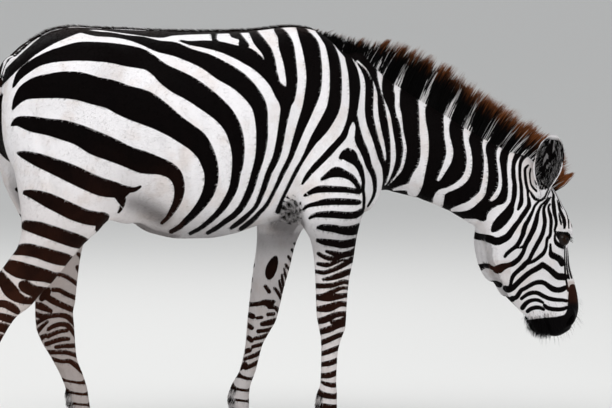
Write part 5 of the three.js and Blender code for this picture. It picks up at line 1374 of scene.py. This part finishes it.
skin_material = coat_material("zebra_skin", 0.14, 0.0005)
hair_material = coat_material("zebra_hair", 0.1, 0)

# ---------------------------------------------------------------- the skin object
# The third field greys the white with painted shade.
FIELDS = ("stripe", "warm", "shade_and_grey", "bare", "shade")
on_ear = part == PART_EAR
ears = paint_ear(ear_inner, ear_where)
dock_rings = np.cos((skin_points[:, 2] + 12 * np.sin(skin_points[:, 1] / 14)) * 2 * math.pi / 52) * 1.1 - 0.15
DOCK = (dock_rings, 0.35, 0.1, 0.0)
skin_values = [np.where(part == PART_TAIL, dock, np.where(on_ear, ear, whole))
               for dock, ear, whole in zip(DOCK, ears, paint(skin_points))]
skin_fields = dict(zip(FIELDS, (*skin_values, np.where(on_ear, ears[4], 0.5))))
skin = make_object("zebra_skin", skin_points, skin_faces, skin_material, skin_fields)


def unwrap(obj, head_faces):
    """OFBake: the skin's own unwrap, with the head given the square's top strip."""
    mesh = obj.data
    mesh.uv_layers.new(name="OFBake")
    bpy.context.view_layer.objects.active = obj
    obj.select_set(True)
    result = np.zeros((len(mesh.loops), 2), np.float32)
    corner_head = np.repeat(head_faces, 3)
    for chosen, corners, (low, high) in ((~head_faces, ~corner_head, BODY_STRIP),
                                         (head_faces, corner_head, HEAD_STRIP)):
        mesh.polygons.foreach_set("select", chosen)
        bpy.ops.object.mode_set(mode="EDIT")
        bpy.ops.uv.smart_project(angle_limit=math.radians(70), island_margin=0.002,
                                 rotate_method="AXIS_ALIGNED")
        bpy.ops.object.mode_set(mode="OBJECT")
        uv = np.zeros(len(mesh.loops) * 2, np.float32)
        mesh.uv_layers["OFBake"].data.foreach_get("uv", uv)
        uv = uv.reshape(-1, 2)[corners]
        least, most = uv.min(0), uv.max(0)
        uv = (uv - least) / (most - least)
        result[corners] = uv * (0.996, (high - low) * 0.994) + (0.002, low + 0.002)
    mesh.uv_layers["OFBake"].data.foreach_set("uv", result.ravel())
    obj.select_set(False)
    return result.reshape(-1, 3, 2)


skin_centres = skin_points[skin_faces].mean(1)
head_faces = (skin_centres[:, 0] > 1560) & (skin_centres[:, 2] < 1080)
skin_uv = unwrap(skin, head_faces)
place_piece(skin, "coat", "trunk", "neck", "head", "tail", "ear_right", "ear_left",
            *["leg_" + name for name in LEGS])

# ---------------------------------------------------------------- coat
def unit(v):
    return v / np.maximum(np.linalg.norm(v, axis=-1, keepdims=True), 1e-9)


def lie_of(p, normals):
    """Direction in which the hair lies, along the skin."""
    x, z = p[:, 0], p[:, 2]
    goals = (
        ((1 - ramp(x, 220, 520)) * (1 - ramp(z, 1050, 1290)), (-0.65, 0, -0.75)),
        (ramp(x, 880, 980) * (1 - ramp(x, 1120, 1230)) * (1 - ramp(z, 850, 1150)), (-0.35, 0, -0.95)),
        (ramp(x, 1120, 1260), (-0.86, 0, 0.1)),
        ((1 - ramp(z, 540, 700)) * (x < LEGS_X), (-0.1, 0, -1)),
        (ramp(x, 1600, 1690) * (z < HEAD_TOP), head_direction(1, -0.3, 0)),
    )
    d = np.tile([-1.0, 0.0, -0.3], (len(p), 1))
    for share, goal in goals:
        d = d + (np.asarray(goal) - d) * share[:, None]
    d = d - normals * (d * normals).sum(1)[:, None]
    d = unit(d) + rng.normal(0, 0.16, d.shape)
    return unit(d - normals * (d * normals).sum(1)[:, None])


def scatter(wanted, count, density):
    """Random places on the chosen faces of the skin: place, normal, OFBake place and face."""
    chosen = np.nonzero(wanted)[0]
    size = np.linalg.norm(face_normals(skin_points, skin_faces[chosen]), axis=1) * density[chosen]
    pick = chosen[np.searchsorted(np.cumsum(size) / size.sum(), rng.random(count) * 0.999999)]
    r, t = np.sqrt(rng.random(count)), rng.random(count)
    share = np.stack([1 - r, r * (1 - t), r * t], 1)[:, :, None]
    corners = skin_faces[pick]
    return ((skin_points[corners] * share).sum(1), unit((skin_normals[corners] * share).sum(1)),
            (skin_uv[pick] * share).sum(1), pick)


# A tuft's four corners in OFBake, about its root's place, and its faces.
PATCH = np.array([[-0.0015, -0.0015], [0.0015, -0.0015], [0.0, 0.0002], [0.0, 0.0015]])
BLADE = np.array([[0, 3, 1], [0, 2, 3], [2, 1, 3], [0, 1, 2]])


def blades(name, place, normal, uv, lie, length, width, lift, values, material):
    """Thin solid tufts: a flat three-sided root that runs out to a point along the lie of the coat."""
    across = np.cross(normal, lie) * (width / 2)[:, None]
    root = place - normal * 0.35
    tip = place + lie * length[:, None] + normal * (lift * length)[:, None]
    middle = root + normal * 0.6 + lie * (0.2 * length)[:, None]
    points = np.stack([root - across, root + across, middle, tip], 1)
    faces = (np.arange(len(place))[:, None, None] * 4 + BLADE).reshape(-1, 3)
    corner_uv = np.clip(uv[:, None] + PATCH, 0.0002, 0.9998)
    fields = {key: np.repeat(value, 4) for key, value in values.items()}
    return make_object(name, points.reshape(-1, 3), faces, material, fields,
                       corner_uv.reshape(-1, 2)[faces.ravel()])


def coat_values(place, pick):
    """The tufts' markings: the skin's at their roots on ears and tail, their own elsewhere."""
    values = list(paint(place))
    corner = skin_faces[pick, 0]
    other = part[corner] != PART_BODY
    for value, of_skin in zip(values, skin_values):
        value[other] = of_skin[corner[other]]
    return dict(zip(FIELDS, (*values, rng.random(len(place)))))


def free_of_openings(centres):
    """Faces clear of the eyes and nostrils."""
    keep = np.ones(len(centres), bool)
    for sign in (-1, 1):
        for at, axes, long, tall, most in ((EYE_AT, EYE_AXES, EYE_HALF_LONG, EYE_HALF_TALL, 1.5),
                                           (NOSTRIL_AT, NOSTRIL_AXES, *NOSTRIL_HALF, 2.4)):
            g, d, out = opening(centres, at, sign, axes, long, tall)[:3]
            keep &= ~((g < most) & (np.linalg.norm(d, axis=1) < 60) & (d @ out > -30))
    return keep


def lay_coat():
    """The tufts of body, legs and head, each kind in one or more pieces."""
    x, y, z = skin_centres.T
    bare = skin_values[3][skin_faces].mean(1)
    inside_ear = (part[skin_faces[:, 0]] == PART_EAR) & (ear_inner[skin_faces].mean(1) > 0.5)
    free = (bare < 0.5) & free_of_openings(skin_centres) & (z > CORONET_HEIGHT + 4) & ~inside_ear
    head = (x > 1600) & (z < 1080)
    sparse = 1 - 0.6 * (1 - ramp(np.abs(y), 40, 90)) * (z < 760) * (x < LEGS_X)
    legs = (z < 640) & (x < LEGS_X)
    for name, wanted, strip, count, long, wide, rise in (
            ("coat_body_a", ~head & ~legs & free, BODY_STRIP, 45000, 9.5, 1.5, 0.055),
            ("coat_body_b", ~head & ~legs & free, BODY_STRIP, 45000, 9.5, 1.5, 0.055),
            ("coat_body_c", ~head & ~legs & free, BODY_STRIP, 45000, 9.5, 1.5, 0.055),
            ("coat_legs", legs & free, BODY_STRIP, 36000, 8.0, 1.3, 0.06),
            ("coat_head", head & free, HEAD_STRIP, 44000, 5.5, 1.0, 0.07)):
        n = int(count * (1.0))
        place, normal, uv, pick = scatter(wanted, n, sparse)
        lie = lie_of(place, normal)
        size = rng.uniform(0.65, 1.2, n)
        if name == "coat_head":
            size *= 1 - 0.45 * ramp(head_frame(place)[0], 250, 420)
        low, high = strip
        uv = np.stack([uv[:, 0], (uv[:, 1] - low) / (high - low)], 1)
        lift = rise * rng.uniform(0.4, 1.3, n)
        tufts = blades(name, place, normal, uv, lie, long * size, wide * rng.uniform(0.7, 1.2, n), lift,
                       coat_values(place, pick), hair_material)
        place_piece(tufts, "coat")


lay_coat()


# ---------------------------------------------------------------- long hair
def strands(lines, widths, across, thick=0.5):
    """Tapering locks of triangular section along rows of points: points, faces and share from root to tip."""
    n, steps = lines.shape[:2]
    run = unit(np.gradient(lines, axis=1))
    side = unit(across[:, None] - run * (across[:, None] * run).sum(2, keepdims=True))
    out = np.cross(run, side)
    w = widths[:, :, None] / 2
    rings = np.stack([lines - side * w, lines + side * w, lines + out * w * 2 * thick], 2)[:, :-1]
    points = np.concatenate([rings.reshape(n, -1, 3), lines[:, -1:]], 1)
    faces = [[0, 1, 2]]
    for r in range(steps - 2):
        for k in range(3):
            a, b = 3 * r + k, 3 * r + (k + 1) % 3
            faces += [[a, a + 3, b], [b, a + 3, b + 3]]
    last = 3 * (steps - 2)
    faces += [[last + k, 3 * (steps - 1), last + (k + 1) % 3] for k in range(3)]
    faces = np.array(faces)
    each = points.shape[1]
    share = np.r_[np.repeat(np.arange(steps - 1), 3), steps - 1] / (steps - 1)
    return points, (np.arange(n)[:, None, None] * each + faces).reshape(-1, 3), share


def steady(value):
    """A field that keeps each lock's own value from root to tip."""
    return lambda share: np.repeat(value[:, None], len(share), 1)


def patch_side(share):
    """How far each point of a lock lies from the middle of its OFBake patch."""
    return 0.0015 * np.where(np.arange(len(share)) % 3 == 0, -1, 1)


def lock_object(name, lines, widths, across, material, values, uv_of, thick=0.5):
    """Locks as one object; values and uv_of give a field and an OFBake place for each share of a lock."""
    points, faces, share = strands(lines, widths, across, thick)
    fields = {key: value(share).ravel() for key, value in values.items()}
    uv = np.clip(uv_of(share).reshape(-1, 2), 0.0005, 0.9995)
    return make_object(name, points.reshape(-1, 3), faces, material, fields, uv[faces.ravel()])


def lock_material(name, white, black, tip):
    n = Nodes(name)
    ragged = n.math("MULTIPLY", n.math("SUBTRACT", n.noise(170, 2), 0.5), 0.5)
    dark = n.range(n.math("ADD", n.field("stripe"), ragged), -0.12, 0.12)
    colour = n.mix(dark, white, black)
    colour = n.mix(n.field("tip"), colour, tip)
    shade = n.math("ADD", n.math("MULTIPLY", n.field("shade"), 0.75), 0.6)
    n.put(n.shader, "Base Color", n.add("HueSaturation", None, Value=shade, Color=colour).outputs[0])
    n.put(n.shader, "Roughness", 0.55)
    n.put(n.shader, "Specular IOR Level", 0.035)
    return n.material


def sway(x):
    """How far the mane's middle stands off the body's middle plane where the neck and head turn."""
    return 0.0336 * np.maximum(0, x - 1500) + 0.12 * np.maximum(0, x - POLL[0])


def build_mane(name, thin, material):
    """Upright locks from the crest in clumps; thin ones stand a little above the rest."""
    n = 3600 if thin else 5600
    steps = 7
    s = 12 * rng.random(n) ** 0.78
    clump = np.floor(s * 7 + rng.uniform(-0.35, 0.35, n)).astype(int)
    lean, tall = rng.normal(0, 1, 100)[clump], rng.normal(0, 1, 100)[clump]
    root_x, root_z, tip_x, tip_z, thick_root, thick_tip = MANE(s).T
    back = 24 * ramp(s, 1.5, 3.5) * (1 - ramp(s, 9, 11))
    root_x, root_z = root_x - back, root_z + 0.6 * back
    lateral = rng.uniform(-1, 1, n)
    uneven = 0.035 + 0.07 * (1 - ramp(s, 3, 6))
    reach = np.clip(rng.uniform(0.8, 1.0, n) + uneven * tall, 0.5, 1.03) + 0.95 * ramp(s, 11.2, 11.8)
    reach *= np.where(s < 2.6, rng.uniform(0.5, 1.0, n), 1) * (1 if thin else 0.97)
    h = np.linspace(-0.16, 1, steps)[None, :] * reach[:, None]
    up = np.clip(h, 0, 1)
    x = root_x[:, None] + (tip_x - root_x)[:, None] * h - 30 * up * (1 - up)
    x = x + (7 * lean[:, None] - 4) * up ** 2
    x += rng.normal(0, 5.0 if thin else 2.5, n)[:, None] * up ** 1.5
    z = root_z[:, None] + (tip_z - root_z)[:, None] * h
    half = thick_tip[:, None] + (thick_root - thick_tip)[:, None] * (1 - up) ** 0.8
    y = sway(x) + lateral[:, None] * np.maximum(half - 3, 1) * (0.97 if thin else 0.9)
    lines = np.stack([x, y, z], 2)
    crest_x = root_x + 0.1 * (tip_x - root_x)
    crest = np.stack([crest_x, sway(crest_x) - 0.85 * thick_root, root_z - 12], 1)
    ground = paint(crest)[0] - 0.16 + 0.42 * rng.normal(0, 1, n) + 1.6 * (1 - ramp(s, 2.0, 2.7))
    across = unit(np.cross(np.gradient(lines, axis=1)[:, 2], np.array([0.0, 1.0, 0.0])))
    wide = rng.uniform(1.4, 2.6, n) if thin else rng.uniform(3.2, 5.4, n)
    width = wide[:, None] * np.linspace(1.0, 0.28, steps)[None]
    light = rng.uniform(0, 1, n)
    fade = rng.uniform(0.2, 0.9, n) if thin else rng.uniform(0.08, 0.66, n)
    rust = rng.uniform(0.8, 1.04, n) - 0.16 * ramp(s, 5, 9) + 0.4 * ramp(s, 11.2, 11.8)
    values = {
        "stripe": lambda share: (
            ground[:, None] + 2.4 * ramp(share * reach[:, None] - fade[:, None], -0.15, 0.4)),
        "tip": lambda share: ramp(share * reach[:, None], rust[:, None] - 0.1, rust[:, None] + 0.06) * 0.95,
        "shade": steady(light)}

    def uv_of(share):
        u = np.clip(s / 12, 0.002, 0.998)[:, None] + patch_side(share)
        return np.stack([u, (lateral[:, None] > 0) * 0.5 + 0.01 + 0.48 * share * reach[:, None]], 2)

    return lock_object(name, lines, width, across, material, values, uv_of)


mane_material = lock_material("mane_hair", white=rgb(0.7, 0.68, 0.68), black=rgb(0.0012, 0.001, 0.001),
                              tip=rgb(0.24, 0.075, 0.022))
place_piece(build_mane("mane_locks", False, mane_material), "mane_hair", "mane")
place_piece(build_mane("mane_strays", True, mane_material), "mane_hair")


def build_tassel():
    """Dark locks that leave the dock all round and end one above another."""
    n = 1500
    steps = 8
    curve = stations(TAIL)
    start = rng.uniform(3.6, 5.3, n)
    angle = rng.uniform(0, 2 * math.pi, n)
    stop = rng.uniform(6.8, 8.96, n)
    t = np.linspace(0, 1, steps)
    places = start[:, None] + (stop - start)[:, None] * t[None]
    centre = curve(places.ravel()).reshape(n, steps, 4)
    close = np.where(t < 0.15, 0.75, 0.93)[None] * rng.uniform(0.35, 1, n)[:, None] ** 0.5
    close[:, 0] = 0.8
    x = centre[:, :, 0] + centre[:, :, 2] * close * np.cos(angle)[:, None]
    y = centre[:, :, 3] * close * np.sin(angle)[:, None]
    lines = np.stack([x, y, centre[:, :, 1]], 2)
    across = np.stack([-np.sin(angle), np.cos(angle), np.zeros(n)], 1)
    width = rng.uniform(3.0, 5.5, n)[:, None] * np.linspace(1, 0.25, steps)[None]
    light = rng.random(n)
    ground = np.where((start < 4.4) & (light > 0.6), -1.0, 1.0)
    values = {"stripe": lambda share: ground[:, None] + 1.6 * share,
              "tip": lambda share: ramp(share, 0.6, 1) * 0.35 + np.zeros((n, 1)),
              "shade": steady(light)}

    def uv_of(share):
        down = (start[:, None] - 3.6) / 5.4 + (stop - start)[:, None] / 5.4 * share
        return np.stack([(angle / 2 / math.pi)[:, None] + patch_side(share), 0.01 + 0.98 * down], 2)

    material = lock_material("tail_hair", rgb(0.5, 0.46, 0.43), BLACK_HAIR, rgb(0.08, 0.035, 0.015))
    return lock_object("tail_tassel", lines, width, across, material, values, uv_of)


place_piece(build_tassel(), "mane_hair", "tail_tuft")


# ---------------------------------------------------------------- ear, chin, spine, elbow and fetlock hair
FRINGE_SHARE = 1.0
fringe_material = lock_material("fringe_hair", rgb(0.62, 0.6, 0.6), rgb(0.002, 0.0016, 0.0016),
                                rgb(0.1, 0.045, 0.022))


def fringe(name, root, run, uv, length, width, stripe, shade, tip, droop=0.0, steps=5):
    """Fine hairs from root points along run directions, each with its stripe, shade and tip."""
    t = np.linspace(0, 1, steps)
    lines = root[:, None] + run[:, None] * (length[:, None] * t[None])[:, :, None]
    lines[:, :, 2] -= droop * (length[:, None] * t[None] ** 2)
    side = unit(np.cross(run, np.array([0.31, 0.2, 0.93])))
    uv = 0.003 + 0.99 * (uv - uv.min(0)) / (uv.max(0) - uv.min(0))
    wide = width[:, None] * np.linspace(1, 0.25, steps)[None]
    values = {"stripe": steady(stripe), "tip": lambda share: tip[:, None] * ramp(share[None], 0.3, 1),
              "shade": steady(shade)}
    hairs = lock_object(name, lines, wide, side, fringe_material, values,
                        lambda share: uv[:, None] + np.stack([patch_side(share), 0.0025 * share], 1)[None])
    return place_piece(hairs, "mane_hair")


def spot(wanted, n):
    """Random roots on chosen faces of the skin, with normals and OFBake places."""
    return scatter(wanted, n, np.ones(len(skin_faces)))[:3]


def grow(name, wanted, count, lie, spread, length, width, stand=1.0, marked=0.0, darker=0.0, tip=0.0,
         droop=0.0):
    """A fringe on chosen faces that leans towards lie, black or with the skin's markings."""
    n = int(count * FRINGE_SHARE)
    root, normal, uv = spot(wanted, n)
    run = unit(normal * stand + lie + rng.normal(0, spread, (n, 3)))
    long, wide = rng.uniform(*length, n), rng.uniform(*width, n)
    stripe = paint(root)[0] * marked if marked else np.ones(n)
    shade = rng.random(n) - darker
    tips = rng.random(n) * tip if tip else np.zeros(n)
    fringe(name, root, run, uv, long, wide, stripe, shade, tips, droop)


def ear_hair(label, sign):
    """Pale and dark hairs that cross the opening of the ear from both edges."""
    u, across = ear_where[skin_faces].mean(1).T
    inside = ear_inner[skin_faces].mean(1) > 0.9
    middle, axis, facing, side = ear_axes(sign)
    cup = (part[skin_faces[:, 0]] == PART_EAR) & inside & (skin_centres[:, 1] * sign > 0)
    cup &= (np.abs(across) > 0.25) & (u > 0.02) & (u < 0.86)
    n = int(1300 * FRINGE_SHARE)
    root, _, uv = spot(cup, n)
    outward = np.sign((root - middle) @ side)[:, None] * side
    run = unit(axis * 0.9 + facing * rng.uniform(0.1, 0.45, (n, 1)) - outward * rng.uniform(0.0, 0.5, (n, 1))
               + rng.normal(0, 0.12, (n, 3)))
    long, wide = rng.uniform(9, 22, n), rng.uniform(0.7, 1.3, n)
    stripe = np.where(rng.random(n) < 0.26, -0.1, 1.0)
    fringe("ear_hair_" + label, root, run, uv, long, wide, stripe, rng.random(n) * 0.8 - 0.3, np.zeros(n))


def lashes(label, sign):
    """Lashes of the upper lid."""
    centre, long, tall, out = pit_frame(EYE_AT, sign, *EYE_AXES)
    n = int(90 * max(FRINGE_SHARE, 0.5))
    turn = rng.uniform(-0.85, 0.85, n)
    rise = EYE_HALF_TALL * np.sqrt(1 - turn ** 2) + 1
    root = centre + long * (EYE_HALF_LONG * 0.95 * turn)[:, None] + tall * rise[:, None]
    root = centre + unit(root - centre + out * 15) * (EYE_RADIUS + LID_THICKNESS - 0.6)
    run = unit(out * 0.8 + tall * 0.7 + head_direction(0.3, 0, 0) + rng.normal(0, 0.12, (n, 3)))
    uv = np.stack([rng.uniform(0.05, 0.95, n), rng.uniform(0.05, 0.95, n)], 1)
    fringe("lashes_" + label, root, run, uv, rng.uniform(8, 15, n), rng.uniform(0.6, 1.0, n), np.ones(n),
           rng.random(n), np.zeros(n), 0.1)


def build_fringes():
    """All the hair that stands out from the coat, in the order in which its chances are drawn."""
    body = part[skin_faces[:, 0]] == PART_BODY
    x, y, z = skin_centres.T
    along, rise, side = head_frame(skin_centres)
    head = (x > 1600) & (z < HEAD_TOP) & body
    chart_a, chart_b = side_chart(skin_centres)
    streaked = np.hypot((chart_a - 92) / 4, (chart_b - 72.5) / 5) < 0.9
    elbow = body & (x > 840) & (x < 1040) & (y < -40) & streaked
    elbow |= body & (x > 890) & (x < 980) & (z > 690) & (z < 760) & (y > 60)
    fetlock = np.zeros(len(skin_faces), bool)
    for sign, curve in LEG_CURVES.values():
        back = curve(z)[:, 1]
        fetlock |= (y * sign > 0) & (z > 64) & (z < 170) & (x < back + 14) & (x > back - 30) & body
    for sign, label in ((-1, "right"), (1, "left")):
        ear_hair(label, sign)
    grow("chin_hair", head & (along > 474) & (rise < -45) & (np.abs(side) < 46), 900,
         head_direction(0.9, -0.3, 0), 0.25, (7, 20), (0.8, 1.3), droop=0.15)
    grow("whiskers", head & (along > 440) & (np.abs(side) > 18), 260,
         head_direction(0.5, 0, 0), 0.2, (14, 40), (0.5, 0.8), droop=0.2)
    grow("spine_hair", body & (np.abs(y) < 14) & (z > 1200) & (x > 60) & (x < 1010), 2400,
         np.array([-1.0, 0, 0]), 0.12, (10, 18), (1.0, 1.8), stand=0.55, tip=0.6)
    grow("elbow_hair", elbow, 2200, np.array([-0.6, 0, -0.55]), 0.4, (7, 15), (0.7, 1.2), stand=0.12,
         marked=2, darker=0.1, tip=0.3)
    grow("fetlock_hair", fetlock, 2000, np.array([-0.12, 0, -1.0]), 0.1, (12, 24), (1.0, 1.7), stand=0.22,
         marked=1, tip=0.4)
    for sign, label in ((-1, "right"), (1, "left")):
        lashes(label, sign)


build_fringes()


# ---------------------------------------------------------------- eyes
def build_eye(name, sign):
    """A dark ball with a bulging cornea, a brown iris and a level pupil."""
    centre, u, v, out = pit_frame(EYE_AT, sign, *EYE_AXES)
    count, steps = 56, 40
    polar = np.linspace(0.001, math.pi - 0.001, steps)
    turn = np.arange(count) / count * 2 * math.pi
    ring = np.stack([np.cos(turn), np.sin(turn)], 1)
    flat = EYE_RADIUS * np.sin(polar)
    bulge = EYE_RADIUS * np.cos(polar) + 1.1 * np.exp(-(polar / 0.55) ** 2)
    rings = (centre + out * bulge[:, None, None] + u * (flat[:, None] * ring[:, 0])[:, :, None]
             + v * (flat[:, None] * ring[:, 1])[:, :, None])
    points, faces = ring_tube(rings)
    if ((face_normals(points, faces) * (points[faces].mean(1) - centre)).sum(1).mean()) < 0:
        faces = faces[:, ::-1]
    d = points - centre
    long, tall, ahead = d @ u, d @ v, d @ out
    pupil = 1 - ramp((np.abs(long) / 7.4) ** 2 + (np.abs(tall) / 3.6) ** 2, 0.75, 1.25)
    iris = 1 - ramp(np.hypot(long, tall), 13.0, 15.0)
    front = ahead > 0
    n = Nodes("eye_" + name)
    fibres = n.noise(420, 3)
    brown = n.mix(n.range(fibres, 0.3, 0.7), rgb(0.005, 0.0025, 0.0015), rgb(0.016, 0.007, 0.003))
    colour = n.mix(n.field("iris"), rgb(0.012, 0.009, 0.008), brown)
    colour = n.mix(n.field("pupil"), colour, rgb(0.001, 0.001, 0.002))
    n.put(n.shader, "Base Color", colour)
    n.put(n.shader, "Roughness", 0.05)
    n.put(n.shader, "Specular IOR Level", 0.09)
    fields = {"pupil": pupil * front, "iris": iris * front}
    return make_object("eye_ball_" + name, points, faces, n.material, fields)


for name, sign in (("right", -1), ("left", 1)):
    place_piece(build_eye(name, sign), "eye", "eye_" + name)


# ---------------------------------------------------------------- hooves
def hoof_material():
    """Dark grey horn with upright grain and faint growth rings."""
    n = Nodes("hoof_horn")
    grain = n.noise(60, 4, ((0, 0, 0), (3.2, 3.2, 0.35)))
    rings = n.add("TexWave", {"bands_direction": "Z"}, Vector=n.add("TexCoord").outputs["Object"], Scale=38.0,
                  Distortion=1.6, Detail=2.0).outputs[1]
    colour = n.mix(n.range(grain, 0.35, 0.68), rgb(0.035, 0.03, 0.027), rgb(0.105, 0.088, 0.075))
    colour = n.mix(n.math("MULTIPLY", rings, 0.25), colour, rgb(0.02, 0.017, 0.015))
    n.put(n.shader, "Base Color", colour)
    n.put(n.shader, "Roughness", 0.48)
    n.put(n.shader, "Specular IOR Level", 0.35)
    rise = n.add("Bump", None, Strength=0.35, Distance=0.0006, Height=n.math("ADD", grain, rings))
    n.put(n.shader, "Normal", rise.outputs[0])
    return n.material


# How far the wall stands out past the leg's coronet at each height.
HOOF_RINGS = stations([(0, 13.2), (3, 14.5), (18, 10.9), (33.6, 7), (47, 3.4), (55.2, 2.6)])


def build_hoof(name, material):
    sign, rows = LEGS[name]
    front, back, side, half = rows[1][1:]
    count = 72
    angle = np.arange(count) / count * 2 * math.pi
    rings = []
    for z in np.r_[0, 1.2, 3, np.linspace(5, 55.2, 30)]:
        spread = HOOF_RINGS(z)[0, 0] + 0.35 * math.sin(z * 0.9) * (z > 4)
        shift = (front + back) / 2 - (z - CORONET_HEIGHT) * HOOF_SLOPE * 0.62
        toe = np.where(np.cos(angle) > 0, 1, 0.86)
        cleft = 1 - 0.1 * np.exp(-(np.abs(angle - math.pi) / 0.3) ** 2) * (1 - ramp(z, 30, 52))
        long = ((front - back) / 2 + spread) * toe * np.cos(angle) * cleft
        wide = (half + spread * 0.78) * np.sin(angle) * (1 - 0.08 * np.cos(angle))
        rings.append(np.stack([shift + long, side * sign + wide, np.full(count, z)], 1))
    points, faces = ring_tube(rings)
    return make_object("horn_" + name, points, faces, material, {})


horn = hoof_material()
for name in LEGS:
    place_piece(build_hoof(name, horn), "horn", "hoof_" + name)

# ---------------------------------------------------------------- camera, light and floor
CAMERA_LENS, CAMERA_SENSOR = 280.1, 36.0
FLOOR_HALF = 140000.0
# Name, place in metres, size and power of each lamp.
LAMPS = (("key", (-2.5, -3.5, 7.0), 5.0, 330), ("fill", (4.5, -5.0, 3.5), 5.0, 110),
         ("rim", (0.0, 5.0, 5.0), 5.0, 120))


def set_stage():
    """The photograph's camera, three soft lamps, a pale world and a floor."""
    scene = bpy.context.scene
    aim = (CHART_CENTRE - ORIGIN) / 1000
    level = math.cos(CHART_DROP)
    back = np.array([-math.sin(CHART_TURN) * level, -math.cos(CHART_TURN) * level, math.sin(CHART_DROP)])
    camera = bpy.data.objects.new("camera", bpy.data.cameras.new("camera"))
    camera.data.lens, camera.data.sensor_width = CAMERA_LENS, CAMERA_SENSOR
    camera.location = Vector(aim + back * (CHART_REACH / 1000))
    camera.rotation_euler = Vector(-back).to_track_quat("-Z", "Y").to_euler()
    scene.collection.objects.link(camera)
    scene.camera = camera
    for name, place, size, power in LAMPS:
        light = bpy.data.lights.new(name, "AREA")
        light.shape, light.size, light.energy = "DISK", size, power
        lamp = bpy.data.objects.new(name, light)
        lamp.location = place
        lamp.rotation_euler = (Vector((0.1, 0, 0.7)) - Vector(place)).to_track_quat("-Z", "Y").to_euler()
        scene.collection.objects.link(lamp)
    world = bpy.data.worlds.new("studio")
    scene.world = world
    world.use_nodes = True
    world.node_tree.nodes["Background"].inputs[0].default_value = (0.93, 0.95, 0.97, 1)
    world.node_tree.nodes["Background"].inputs[1].default_value = 0.62
    floor_nodes = Nodes("floor")
    floor_nodes.put(floor_nodes.shader, "Base Color", rgb(0.74, 0.735, 0.72))
    floor_nodes.put(floor_nodes.shader, "Roughness", 0.9)
    corners = np.array([[-1, -1, 0], [1, -1, 0], [1, 1, 0], [-1, 1, 0]]) * FLOOR_HALF + ORIGIN * [1, 0, 0]
    floor = make_object("floor", corners, np.array([[0, 1, 2, 3]]), floor_nodes.material, {}, smooth=False)
    scene.view_settings.view_transform = "Standard"


set_stage()
